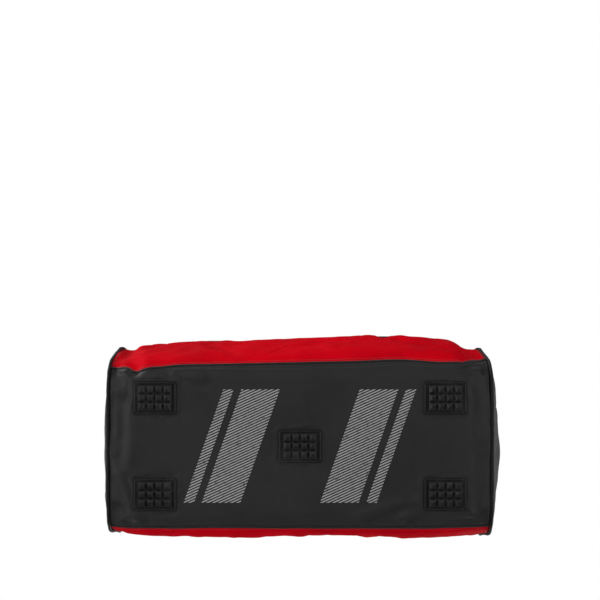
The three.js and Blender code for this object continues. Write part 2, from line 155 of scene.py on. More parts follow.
def spline(x, knots):
    """A smooth curve through (x, value) knots."""
    kx, kv = np.array(knots, float).T
    slope = np.gradient(kv, kx)
    x = np.clip(x, kx[0], kx[-1])
    i = np.clip(np.searchsorted(kx, x) - 1, 0, len(kx) - 2)
    h = kx[i + 1] - kx[i]
    t = (x - kx[i]) / h
    rise = kv[i + 1] - kv[i]
    start, end = slope[i] * h, slope[i + 1] * h
    return kv[i] + t * start + t * t * (3 * rise - 2 * start - end) + t**3 * (start + end - 2 * rise)


# ---- the skin ----
def tucked(z):
    """How far the lower side stands in from a full section: it fills out slowly above the base's seam."""
    seam_height, reach = 20, 130
    t = np.clip((z - seam_height) / reach, 0, 1)
    return TUCK * np.sin(math.pi * t**0.8)


def section(x, phi, half_width):
    """Points of the section at x: phi runs from +Y towards +Z."""
    c, s = np.cos(phi), np.sin(phi)
    side = 1 - np.abs(x / HALF_LENGTH) ** 4
    rise = 1 - np.abs(x / HALF_LENGTH) ** 8
    upper = s > 0
    above, below = mix(END["above"], MIDDLE["above"], rise), mix(END["below"], MIDDLE["below"], side)
    b = np.where(upper, above, below)
    n = np.where(upper, TOP_SQUARENESS, BASE_SQUARENESS)
    r = (np.abs(c / half_width) ** n + np.abs(s / b) ** n) ** (-1 / n)
    y, z = r * c, WAIST + r * s
    free = np.maximum(smoothstep(np.abs(y), 102, 128), smoothstep(np.abs(x), 260, 292))
    z = np.where(upper, z, FLAT + (z - FLAT) * free)
    y = y - np.sign(c) * tucked(z) * np.where(c > 0, 0.7, 1) * smoothstep(np.abs(y), 60, 125)
    return np.stack([x + 0 * y, y, z], -1)


def skin(x, phi):
    """The bag's skin before its folds: as the cloth has settled below, and as the CAD has it above."""
    x, phi = np.broadcast_arrays(np.asarray(x, float), np.asarray(phi, float))
    cad_width = mix(END["half_width"], MIDDLE["half_width"], 1 - np.abs(x / HALF_LENGTH) ** 4)
    settled_width = np.where(
        np.cos(phi) < 0, spline(x, FRONT_HALF_WIDTH), spline(x, BACK_HALF_WIDTH)
    )
    height = np.degrees(np.arcsin(np.clip(np.sin(phi), -1, 1)))
    loose = np.maximum(smoothstep(np.abs(x), 175, 240), np.cos(phi) > 0)
    w = smoothstep((height - 20 - 10 * loose) / (11 + 22 * loose))[..., None]
    return mix(section(x, phi, settled_width), section(x, phi, cad_width), w)


def skin_normal(x, phi):
    """The outward direction of the skin, before its folds."""
    dx, dphi = 0.6, 0.006
    along = skin(x + dx, phi) - skin(x - dx, phi)
    around = skin(x, phi + dphi) - skin(x, phi - dphi)
    return unit(np.cross(around, along))


def ripple(p, wavelength, seed, stretch=(1, 1, 1)):
    """Smooth wandering noise, mostly from -1 to 1: a few seeded waves in random directions."""
    rng = np.random.default_rng(seed)
    total = np.zeros(p.shape[:-1])
    waves = 9
    for _ in range(waves):
        direction = unit(rng.normal(size=3)) * np.array(stretch)
        length = wavelength * rng.uniform(0.7, 1.5)
        total += np.sin(p @ direction * (2 * math.pi / length) + rng.uniform(0, 2 * math.pi))
    return total / waves**0.5 / 1.5


def fold(p, start, end, width, height):
    """A soft ridge, or a valley where height is negative, along the line from start to end."""
    start, end = np.array(start, float), np.array(end, float)
    d = end - start
    t = np.clip((p - start) @ d / (d @ d), 0, 1)
    away = np.linalg.norm(p - start - t[..., None] * d, axis=-1)
    return height * np.exp(-((away / width) ** 2))


# Each fold: start, end, half width and height. The base lies at z 8, and its seams at about z 20.
# Those that the photo shows are placed from readings of it, and the rest are made up.
FOLDS = [
    # the crease where the back right corner is gathered, and the cloth it pushes up
    ((256, 119, 20), (281, 141, 150), 12, -3.6),
    ((274, 124, 24), (297, 142, 120), 9, 2.5),
    ((240, 124, 26), (262, 148, 140), 13, 4),
    ((258, 112, 14), (268, 74, 9), 9, -4.2),
    ((262, 114, 14), (246, 90, 8), 6, 2.0),
    ((243, 112, 13), (214, 106, 9), 7, 2.6),
    ((228, 100, 10), (196, 40, 8), 10, 1.4),
    ((290, 100, 18), (284, 20, 14), 8, 1.6),
    ((275, 95, 12), (276, -10, 11), 9, -1.5),
    ((196, 113, 10), (150, 107, 9), 7, 2.3),
    ((188, 106, 10), (150, 92, 8), 7, -1.7),
    # the side at its widest, over the left anchor
    ((-190, 166, 150), (-70, 166, 150), 24, 0.9),
    # the back left corner, turned up
    ((-256, 136, 40), (-257, 96, 10), 7, -3.2),
    ((-244, 138, 60), (-262, 158, 150), 14, 3),
    ((-270, 150, 120), (-285, 140, 60), 9, -3.5),
    ((-277, 118, 22), (-281, 10, 14), 8, 3.6),
    ((-267, 104, 13), (-270, -10, 11), 7, -2.2),
    ((-290, 20, 15), (-284, -95, 16), 8, 2.8),
    ((-276, -20, 11), (-272, -96, 11), 7, -2.0),
    ((-165, 164, 130), (-252, 146, 50), 13, -4.2),
    ((150, 158, 120), (105, 146, 46), 12, -3.2),
    ((-40, 166, 120), (20, 148, 45), 14, -2.8),
    ((215, 160, 190), (262, 150, 90), 10, -3.2),
    # the front right corner
    ((280, -45, 12), (254, -112, 14), 9, 4.2),
    ((266, -54, 10), (240, -118, 17), 6, -3.4),
    ((290, -15, 15), (284, -86, 16), 8, 2.6),
    ((286, -92, 15), (268, -122, 22), 7, -2.4),
    # the front left part of the base
    ((-92, -110, 11), (-148, -88, 8), 9, 3.2),
    ((-112, -117, 14), (-176, -96, 9), 7, -3.4),
    ((-160, -112, 12), (-192, -78, 8), 9, 3.0),
    ((-176, -120, 15), (-204, -100, 9), 6, -1.8),
    ((-222, -112, 12), (-264, -104, 12), 8, 2.2),
    # the front panel
    ((262, -156, 60), (215, -166, 150), 12, -4.6),
    ((276, -150, 90), (238, -166, 185), 10, 2.6),
    ((235, -152, 40), (180, -166, 130), 16, 1.2),
    ((-255, -158, 70), (-205, -166, 170), 12, -4.6),
    ((-276, -150, 60), (-232, -166, 130), 9, 2.4),
    ((-120, -160, 90), (-60, -167, 150), 14, -3.2),
    ((40, -167, 120), (-30, -158, 50), 13, -3.4),
    ((96, -150, 42), (20, -158, 66), 9, 2.2),
    ((190, -148, 40), (120, -160, 78), 9, -3.0),
]


def anchor_folds():
    """Cloth drawn up under each carry handle's anchor."""
    made = []
    for node in ("front_left", "front_right", "back_left", "back_right"):
        low, high = box_mm("handle_anchor_" + node)
        x = (low[0] + high[0]) / 2
        side = -1 if high[1] < 0 else 1
        foot = low[2]
        for across, spread, height in ((-13, -26, 1.8), (13, 24, 1.6), (0, 3, -2.6)):
            top = (x + across, side * 163, foot - 17)
            end = (x + across + spread, side * 166, foot - 84)
            made.append((top, end, 8, height))
    return made


FOLDS += anchor_folds()


def relief(p):
    """How far the cloth stands out of the skin at a point, in millimetres."""
    total = sum(fold(p, *f) for f in FOLDS)
    to_end = HALF_LENGTH - np.abs(p[..., 0])
    held = smoothstep(p[..., 2], 296, 270)
    on_board = 1 - 0.65 * smoothstep(p[..., 2], 14, 9)
    on_side = smoothstep(p[..., 2], 26, 60) * smoothstep(p[..., 2], 285, 240)
    on_side *= 1 - 0.65 * np.exp(-(((p[..., 2] - WAIST) / 32) ** 2))
    drape = ripple(p, 78, 11, (1, 0.3, 0.35))
    crease_line = np.exp(-((ripple(p, 120, 12, (0.9, 0.5, 0.7)) / 0.1) ** 2))
    crease = crease_line * smoothstep(ripple(p, 170, 13), 0.0, 0.6)
    total += on_side * (1.9 * drape + 0.9 * ripple(p, 34, 15, (1, 0.4, 0.6)) - 2.0 * crease)
    aside, endwise = np.abs(p[..., 1]), np.abs(p[..., 0])
    off_board = np.maximum(smoothstep(aside, 70, 100), smoothstep(endwise, 245, 265))
    on_base = smoothstep(p[..., 2], 24, 13) * (0.4 + 0.6 * off_board)
    total += on_base * (1.5 * ripple(p, 74, 17, (1, 1, 0.2)) + 0.5 * ripple(p, 30, 18, (1, 1, 0.2)))
    soft = 1.1 * ripple(p, 150, 3) + 0.45 * ripple(p, 52, 5, (0.6, 1, 1))
    gathers = 1.3 * ripple(p, 17, 7, (0.15, 1, 1)) * np.exp(-to_end / 15)
    gathers += 1.6 * ripple(p, 40, 8, (0.3, 1, 1)) * np.exp(-to_end / 38)
    gathers *= 1 - np.exp(-((to_end / 7) ** 2))
    fine = 0.12 * ripple(p, 18, 9)
    pocket = smoothstep(np.abs(p[..., 2] - 246), 26, 14) * smoothstep(endwise, 150, 122) * (p[..., 1] < 0)
    loose = (0.15 + 0.85 * held) * (1 - 0.75 * pocket)
    return (total + (soft + gathers) * on_board + fine) * loose


def surface(x, phi, outset=0.0):
    """A point on the cloth, or outset from it."""
    x, phi, outset = np.broadcast_arrays(np.asarray(x, float), np.asarray(phi, float), outset)
    p = skin(x, phi)
    return p + skin_normal(x, phi) * (relief(p) + outset)[..., None]


def top_phi(x, y):
    """The section angle at which the top of the bag stands over a plan point."""
    side = 1 - np.abs(x / HALF_LENGTH) ** 4
    rise = 1 - np.abs(x / HALF_LENGTH) ** 8
    a = mix(END["half_width"], MIDDLE["half_width"], side)
    b = mix(END["above"], MIDDLE["above"], rise)
    z = b * (1 - np.abs(y / a) ** TOP_SQUARENESS) ** (1 / TOP_SQUARENESS)
    return np.arctan2(z, y)


def front_seam(x):
    return -math.pi - SEAM_LOW - np.radians(spline(x, FRONT_SEAM_TURN))


def back_seam(x):
    return SEAM_LOW + np.radians(spline(x, BACK_SEAM_TURN))


def front_top_seam(x):
    return math.pi - SEAM_HIGH + 0 * x


def back_top_seam(x):
    return SEAM_HIGH + 0 * x


def angle_at_height(z, x=0.0, front=False):
    """The section angle at which the side reaches a height."""
    low, high = SEAM_LOW, math.radians(89)
    for _ in range(40):
        middle = (low + high) / 2
        angle = math.pi - middle if front else middle
        if skin(x, angle)[2] < z:
            low = middle
        else:
            high = middle
    return math.pi - low if front else low


# ---- mesh making ----
def new_object(name, verts, faces, uvs=None, materials=(), face_material=None, sharp=40):
    """A smooth-shaded mesh object from points in millimetres, with a pair in metres for each face corner."""
    mesh = bpy.data.meshes.new(name)
    mesh.from_pydata((np.asarray(verts, float) * MM).tolist(), [], [list(map(int, f)) for f in faces])
    for m in materials:
        mesh.materials.append(m.material)
    if face_material is not None:
        mesh.polygons.foreach_set("material_index", np.asarray(face_material, np.int32))
    if uvs is not None:
        layer = mesh.uv_layers.new(name="weave")
        layer.data.foreach_set("uv", np.asarray(uvs, np.float32).ravel())
    mesh.shade_smooth()
    mesh.set_sharp_from_angle(angle=math.radians(sharp))
    mesh.validate()
    made = bpy.data.objects.new(name, mesh)
    bpy.context.scene.collection.objects.link(made)
    return made


def lengths_along(p, axis):
    """Distance run along one axis of a grid of points, from its first row."""
    step = np.linalg.norm(np.diff(p, axis=axis), axis=-1)
    start = np.zeros_like(np.take(step, [0], axis=axis))
    return np.concatenate([start, np.cumsum(step, axis=axis)], axis=axis)


def sheet(name, p, thickness, materials, outward=None, wrap=False):
    """A closed sheet of cloth under a grid of outer points. Its inner side takes the second material."""
    nu, nv = p.shape[:2]
    if wrap:
        ahead, behind = np.roll(p, -1, 0), np.roll(p, 1, 0)
        du = ahead - behind
    else:
        du = np.gradient(p, axis=0)
    normal = unit(np.cross(du, np.gradient(p, axis=1)))
    if outward is None:
        core = np.stack([np.clip(p[..., 0], -250, 250), 0 * p[..., 1], 0 * p[..., 2] + WAIST], -1)
        outward = p - core
    side = 1 if np.sum(normal * outward) > 0 else -1
    inner = p - side * normal * thickness
    verts = np.concatenate([p.reshape(-1, 3), inner.reshape(-1, 3)])
    under = nu * nv
    i = np.arange(nu if wrap else nu - 1)[:, None]
    j = np.arange(nv - 1)[None, :]
    i2 = (i + 1) % nu

    def at(a, b):
        return (a * nv + b).ravel()

    quads = np.stack([at(i, j), at(i2, j), at(i2, j + 1), at(i, j + 1)], 1)
    u, v = lengths_along(p, 0) * MM, lengths_along(p, 1) * MM
    step_u = np.concatenate([np.diff(u, axis=0), np.full((1, nv), 0.003)])
    u0, v0 = u[i, j], v[i, j]
    corner_uv = np.stack(
        [
            np.stack([u0.ravel(), v0.ravel()], 1),
            np.stack([(u0 + step_u[i, j]).ravel(), v0.ravel()], 1),
            np.stack([(u0 + step_u[i, j]).ravel(), v[i, j + 1].ravel()], 1),
            np.stack([u0.ravel(), v[i, j + 1].ravel()], 1),
        ],
        1,
    )
    rims = []
    ii, jj = np.arange(nu if wrap else nu - 1), np.arange(nv - 1)
    ii2 = (ii + 1) % nu
    rims.append(np.stack([ii2 * nv, ii * nv, ii * nv + under, ii2 * nv + under], 1))
    e = nv - 1
    rims.append(np.stack([ii * nv + e, ii2 * nv + e, ii2 * nv + e + under, ii * nv + e + under], 1))
    if not wrap:
        rims.append(np.stack([jj, jj + 1, jj + 1 + under, jj + under], 1))
        last = (nu - 1) * nv
        rims.append(np.stack([last + jj + 1, last + jj, last + jj + under, last + jj + 1 + under], 1))
    rims = np.concatenate(rims)
    faces = np.concatenate([quads, quads[:, ::-1] + under, rims])
    rim_uv = np.zeros((len(rims), 4, 2))
    uvs = np.concatenate([corner_uv, corner_uv[:, ::-1], rim_uv])
    if side < 0:
        faces, uvs = faces[:, ::-1], uvs[:, ::-1]
    which = np.zeros(len(faces), int)
    if len(materials) > 1:
        which[len(quads) : 2 * len(quads)] = 1
    return new_object(name, verts, faces, uvs, materials, which, sharp=55)


def sweep(name, centre, across, up, outline, materials, closed=False, sharp=40):
    """A solid swept along a path. outline is a loop of (across, up) points, or one loop for each place."""
    n = len(centre)
    outline = np.asarray(outline, float)
    if outline.ndim == 2:
        outline = np.repeat(outline[None], n, 0)
    k = outline.shape[1]
    verts = centre[:, None] + across[:, None] * outline[..., :1] + up[:, None] * outline[..., 1:]
    i = np.arange(n if closed else n - 1)[:, None]
    j = np.arange(k)[None]
    i2, j2 = (i + 1) % n, (j + 1) % k
    quads = np.stack([(a * k + b).ravel() for a, b in ((i, j), (i, j2), (i2, j2), (i2, j))], 1)
    run = np.concatenate([[0], np.cumsum(np.linalg.norm(np.diff(centre, axis=0), axis=1))]) * MM
    run = np.append(run, run[-1] + 0.003)
    loop = np.linalg.norm(np.diff(np.append(outline[0], outline[0][:1], 0), axis=0), axis=1)
    loop = np.concatenate([[0], np.cumsum(loop)]) * MM
    ones = np.ones((len(i), k))
    u0, u1 = (ones * loop[j]).ravel(), (ones * loop[j + 1]).ravel()
    v0, v1 = (ones * run[i]).ravel(), (ones * run[i + 1]).ravel()
    uvs = np.stack([np.stack(c, 1) for c in ((u0, v0), (u1, v0), (u1, v1), (u0, v1))], 1).reshape(-1, 2)
    faces = quads.tolist()
    if not closed:
        faces += [list(range(k))[::-1], [(n - 1) * k + b for b in range(k)]]
        uvs = np.concatenate([uvs, np.zeros((2 * k, 2))])
    return new_object(name, verts.reshape(-1, 3), faces, uvs, materials, sharp=sharp)


def tangents(path):
    """The direction of a path at each of its points."""
    return unit(np.gradient(path, axis=0))


def round_outline(radius, sides=10):
    a = np.arange(sides) * 2 * math.pi / sides
    return np.stack([radius * np.cos(a), radius * np.sin(a)], 1)


def strap_outline(width, thick, ribs=0):
    """The cross-section of webbing: rounded edges and, where ribs is set, a lightly ribbed face."""
    half, h = width / 2, thick / 2
    top = np.linspace(half - h * 0.6, -half + h * 0.6, max(9, 2 * ribs + 1))
    lift = 0.12 * np.cos(np.arange(len(top)) * math.pi) if ribs else 0 * top
    upper = np.stack([top, h + lift], 1)
    left = [[-half, h * 0.45], [-half, -h * 0.45]]
    lower = np.stack([top[::-1], -h - lift[::-1]], 1)
    right = [[half, -h * 0.45], [half, h * 0.45]]
    return np.concatenate([upper, left, lower, right])


def smooth_path(points, count):
    """Evenly spaced places on a centripetal Catmull-Rom curve through points."""
    p = np.array(points, float)
    p = np.concatenate([[2 * p[0] - p[1]], p, [2 * p[-1] - p[-2]]])
    dense = []
    for a, b, c, d in zip(p, p[1:], p[2:], p[3:]):
        k1 = max(np.linalg.norm(b - a), 1e-6) ** 0.5
        k2 = max(np.linalg.norm(c - b), 1e-6) ** 0.5
        k3 = max(np.linalg.norm(d - c), 1e-6) ** 0.5
        m1 = k2 * ((b - a) / k1 - (c - a) / (k1 + k2) + (c - b) / k2)
        m2 = k2 * ((c - b) / k2 - (d - b) / (k2 + k3) + (d - c) / k3)
        t = np.linspace(0, 1, 24, endpoint=False)[:, None]
        curve = (2 * t**3 - 3 * t**2 + 1) * b + (t**3 - 2 * t**2 + t) * m1
        dense.append(curve + (-2 * t**3 + 3 * t**2) * c + (t**3 - t**2) * m2)
    dense = np.concatenate([*dense, p[-2:-1]])
    run = np.concatenate([[0], np.cumsum(np.linalg.norm(np.diff(dense, axis=0), axis=1))])
    at = np.linspace(0, run[-1], count)
    return np.stack([np.interp(at, run, dense[:, i]) for i in range(3)], 1)


def grains(name, centres, along, up, size, material):
    """Many small rounded grains in one mesh, such as stitches. size is length, width and height."""
    along = unit(along)
    side = unit(np.cross(up, along))
    up = np.cross(along, side)
    ring = np.array([(0.62, 0), (0, 0.62), (-0.62, 0), (0, -0.62)]) * 0.8
    shape = [(-0.5, 0, 0)]
    shape += [(-0.26, a, b) for a, b in ring] + [(0.26, a, b) for a, b in ring] + [(0.5, 0, 0)]
    shape = np.array(shape) * np.array(size)
    faces = []
    for k in range(4):
        k2 = (k + 1) % 4
        faces += [(0, 1 + k2, 1 + k), (1 + k, 1 + k2, 5 + k2, 5 + k), (9, 5 + k, 5 + k2)]
    n, m = len(centres), len(shape)
    verts = (
        centres[:, None]
        + along[:, None] * shape[None, :, :1]
        + side[:, None] * shape[None, :, 1:2]
        + up[:, None] * shape[None, :, 2:]
    ).reshape(-1, 3)
    every = [[v + k * m for v in f] for k in range(n) for f in faces]
    return new_object(name, verts, every, None, [material], sharp=80)


def along_path(path, normals, pitch):
    """Places every pitch along a path, with the direction and normal at each."""
    run = np.concatenate([[0], np.cumsum(np.linalg.norm(np.diff(path, axis=0), axis=1))])
    count = max(2, int(run[-1] / pitch))
    at = (np.arange(count) + 0.5) * run[-1] / count
    place = np.stack([np.interp(at, run, path[:, i]) for i in range(3)], 1)
    ahead = np.stack([np.interp(at + 0.5, run, path[:, i]) for i in range(3)], 1)
    back = np.stack([np.interp(at - 0.5, run, path[:, i]) for i in range(3)], 1)
    normal = np.stack([np.interp(at, run, normals[:, i]) for i in range(3)], 1)
    return place, unit(ahead - back), unit(normal)


STITCH = (3.1, 0.9, 0.75)
STITCH_PITCH = 3.9


def stitches(name, lines, material, body):
    """Rows of thread along lines, each a pair of a path and its normals."""
    parts = [along_path(path, normals, STITCH_PITCH) for path, normals in lines]
    centres, along, up = (np.concatenate(x) for x in zip(*parts))
    made = grains(name, centres, along, up, STITCH, material)
    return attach(made, body)


def on_surface(x, phi, outset):
    """A path on the cloth with its normals."""
    return surface(x, phi, outset), skin_normal(x, phi)


# ---- materials ----
class Nodes:
    """A short way to build one material's nodes."""

    def __init__(self, name, colour, roughness, metallic=0.0):
        self.material = bpy.data.materials.new(name)
        self.material.use_nodes = True
        self.tree = self.material.node_tree
        self.shader = self.tree.nodes["Principled BSDF"]
        self.set("Base Color", (*colour, 1))
        self.set("Roughness", roughness)
        self.set("Metallic", metallic)

    def set(self, socket, value):
        self.shader.inputs[socket].default_value = value

    def add(self, kind, inputs=(), **settings):
        node = self.tree.nodes.new("ShaderNode" + kind)
        for key, value in settings.items():
            setattr(node, key, value)
        for key, value in dict(inputs).items():
            self.feed(node.inputs[key], value)
        return node

    def feed(self, socket, value):
        if isinstance(value, bpy.types.NodeSocket):
            self.tree.links.new(value, socket)
        else:
            socket.default_value = value

    def math(self, operation, a, b=0.0, c=0.0, clamp=False):
        node = self.add("Math", {0: a, 1: b, 2: c}, operation=operation, use_clamp=clamp)
        return node.outputs[0]

    def spread(self, value, low, high, to_low=0.0, to_high=1.0):
        """Maps low..high smoothly onto to_low..to_high."""
        node = self.add("MapRange", {0: value, 1: low, 2: high, 3: to_low, 4: to_high})
        node.interpolation_type = "SMOOTHSTEP"
        return node.outputs[0]

    def noise(self, scale, detail=3.0, roughness=0.55, vector=None):
        where = self.place if vector is None else vector
        inputs = {"Vector": where, "Scale": scale, "Detail": detail, "Roughness": roughness}
        return self.add("TexNoise", inputs).outputs[0]

    @property
    def place(self):
        return self.add("TexCoord").outputs["Object"]

    @property
    def weave_place(self):
        return self.add("UVMap", uv_map="weave").outputs[0]

    def colour_mix(self, factor, a, b):
        def rgba(c):
            return c if isinstance(c, bpy.types.NodeSocket) else (*c, 1)

        node = self.add("Mix", data_type="RGBA")
        self.feed(node.inputs[0], factor)
        self.feed(node.inputs[6], rgba(a))
        self.feed(node.inputs[7], rgba(b))
        return node.outputs[2]

    def bump(self, height, distance, strength=1.0, normal=None):
        node = self.add("Bump", {"Height": height, "Distance": distance, "Strength": strength})
        if normal is not None:
            self.feed(node.inputs["Normal"], normal)
        return node.outputs[0]

    def link(self, socket, value):
        self.tree.links.new(value, self.shader.inputs[socket])


def weave(m, threads, where=None):
    """The height, 0 to 1, of a plain weave with that many threads to the metre."""
    where = m.weave_place if where is None else where
    split = m.add("SeparateXYZ", {0: where})
    wander = m.math("MULTIPLY", m.noise(900, 1), 0.0004)
    u = m.math("MULTIPLY", m.math("ADD", split.outputs[0], wander), threads)
    v = m.math("MULTIPLY", m.math("ADD", split.outputs[1], wander), threads)
    warp_thread = m.math("ABSOLUTE", m.math("SINE", m.math("MULTIPLY", u, math.pi)))
    weft_thread = m.math("ABSOLUTE", m.math("SINE", m.math("MULTIPLY", v, math.pi)))
    cell = m.math("ADD", m.math("FLOOR", u), m.math("FLOOR", v))
    over = m.math("MODULO", m.math("ABSOLUTE", cell), 2.0)
    over = m.math("GREATER_THAN", over, 0.5)
    under = m.math("SUBTRACT", 1.0, over)
    a = m.math("MULTIPLY", warp_thread, m.math("MULTIPLY_ADD", over, 0.55, 0.45))
    b = m.math("MULTIPLY", weft_thread, m.math("MULTIPLY_ADD", under, 0.55, 0.45))
    return m.math("MAXIMUM", a, b)


def cloth(
    name, colour, threads=1500, roughness=0.6, sheen=0.3, sheen_tint=(1, 1, 1),
    vary=0.1, gloss=0.35, rough_vary=0.1,
):
    """Woven nylon: a weave, patchy colour and gloss, painted shade in the weave's low places, and fine
    creasing.
    """
    m = Nodes(name, colour, roughness)
    height = weave(m, threads)
    broad = m.noise(9, 4)
    fine = m.noise(160, 3)
    dark = tuple(c * (1 - 2.4 * vary) for c in colour)
    light = tuple(min(1, c * (1 + 1.4 * vary) + 0.010 * vary) for c in colour)
    base = m.colour_mix(m.spread(broad, 0.35, 0.65), dark, light)
    base = m.colour_mix(m.math("MULTIPLY", m.spread(fine, 0.45, 0.75), 0.35), base, light)
    # Painted shade: the weave's low places are darkened towards a deeper copy of the cloth's colour.
    weave_painted_shade = m.spread(height, 0.2, 0.9, 0.0, 1.0)
    painted_shade_colour = tuple(c * 0.62 for c in colour)
    base = m.colour_mix(weave_painted_shade, painted_shade_colour, base)
    m.link("Base Color", base)
    rough = m.math("MULTIPLY_ADD", m.spread(broad, 0.35, 0.65), rough_vary, roughness - rough_vary / 2)
    rough = m.math("MULTIPLY_ADD", m.spread(fine, 0.4, 0.7), 0.06, rough)
    m.link("Roughness", rough)
    creases = m.noise(70, 4, 0.6)
    normal = m.bump(creases, 0.0012, 0.35)
    m.link("Normal", m.bump(height, 0.00016, 0.8, normal))
    m.set("Sheen Weight", sheen)
    m.set("Sheen Roughness", 0.4)
    m.set("Sheen Tint", (*sheen_tint, 1))
    m.set("Specular IOR Level", gloss)
    return m


def webbing_material(name, colour, rib=1.6, sheen=0.25):
    """Thick woven strap: a herringbone of coarse threads along its length."""
    m = Nodes(name, colour, 0.7)
    split = m.add("SeparateXYZ", {0: m.weave_place})
    across, along = split.outputs[0], split.outputs[1]
    zig = m.math("PINGPONG", across, 0.0032)
    slope = m.math("MULTIPLY", m.math("ADD", along, zig), 2 * math.pi / 0.0014)
    threads = m.math("MULTIPLY_ADD", m.math("SINE", slope), 0.5, 0.5)
    ribs = m.math("ABSOLUTE", m.math("SINE", m.math("MULTIPLY", across, math.pi / (rib * MM))))
    height = m.math("MULTIPLY_ADD", ribs, 0.5, m.math("MULTIPLY", threads, 0.5))
    wear = m.noise(60, 5, 0.65)
    light = tuple(c * 1.7 + 0.008 for c in colour)
    # Painted shade: where the herringbone's threads run low, the colour drops to about half the strap's own.
    base = m.colour_mix(m.math("MULTIPLY", threads, 0.6), tuple(c * 0.55 for c in colour), colour)
    base = m.colour_mix(m.math("MULTIPLY", m.spread(wear, 0.5, 0.75), 0.4), base, light)
    m.link("Base Color", base)
    m.link("Roughness", m.math("MULTIPLY_ADD", m.spread(wear, 0.35, 0.7), 0.18, 0.6))
    m.link("Normal", m.bump(height, 0.0004, 0.8))
    m.set("Sheen Weight", sheen)
    m.set("Sheen Roughness", 0.45)
    m.set("Specular IOR Level", 0.3)
    return m


def moulded(name, colour, roughness, grain=900, depth=0.0003, scuff=0.3, gloss=0.5):
    """Moulded rubber or plastic: a fine leathery grain, dull scuffs and a little dust."""
    m = Nodes(name, colour, roughness)
    pits = m.add("TexVoronoi", {"Vector": m.place, "Scale": grain, "Randomness": 1.0}).outputs[0]
    smear = m.noise(45, 5, 0.65)
    dust = m.noise(14, 4, 0.6)
    light = tuple(c * 1.5 + 0.012 for c in colour)
    worn = m.math("MULTIPLY", m.spread(smear, 0.5, 0.72), scuff)
    base = m.colour_mix(worn, colour, light)
    dusty = m.math("MULTIPLY", m.spread(dust, 0.5, 0.7), 0.12)
    m.link("Base Color", m.colour_mix(dusty, base, (0.09, 0.085, 0.08)))
    m.link("Roughness", m.math("MULTIPLY_ADD", m.spread(smear, 0.35, 0.7), 0.2, roughness - 0.06))
    m.link("Normal", m.bump(m.noise(120, 3), 0.0004, 0.25, m.bump(pits, depth, 0.35)))
    m.set("Specular IOR Level", gloss)
    return m


def metal(name, colour, roughness, brushed=400):
    """Plated metal: faint brushing, finger marks, and edges and high places rubbed brighter."""
    m = Nodes(name, colour, roughness, 0.95)
    stretched = m.add("Mapping", {"Vector": m.place, "Scale": (brushed, brushed / 14, brushed / 3)})
    lines = m.add("TexNoise", {"Vector": stretched.outputs[0], "Scale": 1.0, "Detail": 2.0}).outputs[0]
    marks = m.noise(260, 4, 0.7)
    edge = m.spread(m.add("NewGeometry").outputs["Pointiness"], 0.52, 0.6)
    bright = tuple(min(1, c * 2.2 + 0.15) for c in colour)
    rub = m.math("MULTIPLY", edge, m.spread(marks, 0.4, 0.6), clamp=True)
    m.link("Base Color", m.colour_mix(m.math("MULTIPLY", rub, 0.7), colour, bright))
    smudge = m.math("MULTIPLY_ADD", m.spread(marks, 0.4, 0.7), 0.16, roughness - 0.05)
    m.link("Roughness", m.math("MULTIPLY_ADD", lines, 0.08, smudge))
    m.link("Normal", m.bump(lines, 0.00006, 0.5))
    return m


def thread_material(name, colour):
    m = Nodes(name, colour, 0.6)
    twist = m.add("TexWave", {"Vector": m.place, "Scale": 700.0, "Distortion": 1.5})
    twist.bands_direction = "DIAGONAL"
    vary = m.noise(500, 2)
    dark = tuple(c * 0.6 for c in colour)
    m.link("Base Color", m.colour_mix(m.spread(vary, 0.3, 0.7), dark, colour))
    m.link("Roughness", m.spread(vary, 0.3, 0.7, 0.5, 0.72))
    m.link("Normal", m.bump(twist.outputs[1], 0.00015, 0.6))
    m.set("Sheen Weight", 0.2)
    return m


def printed_cloth(name, colour, ink):
    """The base cloth with a broad and a narrow slanted block of fine printed lines beside the middle foot."""
    m = cloth(name, colour, threads=1300, roughness=0.5, sheen=0.02, vary=0.13, gloss=0.26, rough_vary=0.2)
    plan = m.add("SeparateXYZ", {0: m.place})
    x, y = plan.outputs[0], plan.outputs[1]
    lean, slant, half_height, line_pitch = 0.35, 0.45, 0.088, 0.0042
    u = m.math("ABSOLUTE", m.math("MULTIPLY_ADD", y, lean, x))

    def between(value, low, high):
        return m.math("MULTIPLY", m.math("GREATER_THAN", value, low), m.math("LESS_THAN", value, high))

    broad, narrow = between(u, 0.062, 0.122), between(u, 0.134, 0.150)
    bars = m.math("ADD", broad, narrow)
    blocks = m.math("MULTIPLY", bars, m.math("LESS_THAN", m.math("ABSOLUTE", y), half_height))
    run = m.math("MULTIPLY_ADD", x, slant, y)
    line = m.math("PINGPONG", m.math("DIVIDE", run, line_pitch), 0.5)
    edge_noise = m.math("MULTIPLY", m.math("SUBTRACT", m.noise(2500, 1), 0.5), 0.2)
    on_line = m.math("GREATER_THAN", m.math("ADD", line, edge_noise), 0.27)
    worn = m.spread(m.noise(130, 4, 0.7), 0.28, 0.5, 0.35, 1.0)
    mask = m.math("MULTIPLY", m.math("MULTIPLY", blocks, on_line), worn)
    cloth_colour = m.shader.inputs["Base Color"].links[0].from_socket
    m.link("Base Color", m.colour_mix(m.math("MULTIPLY", mask, 0.85), cloth_colour, ink))
    rough = m.shader.inputs["Roughness"].links[0].from_socket
    m.link("Roughness", m.math("MULTIPLY_ADD", mask, 0.1, rough))
    return m


RED = (0.62, 0.0005, 0.008)

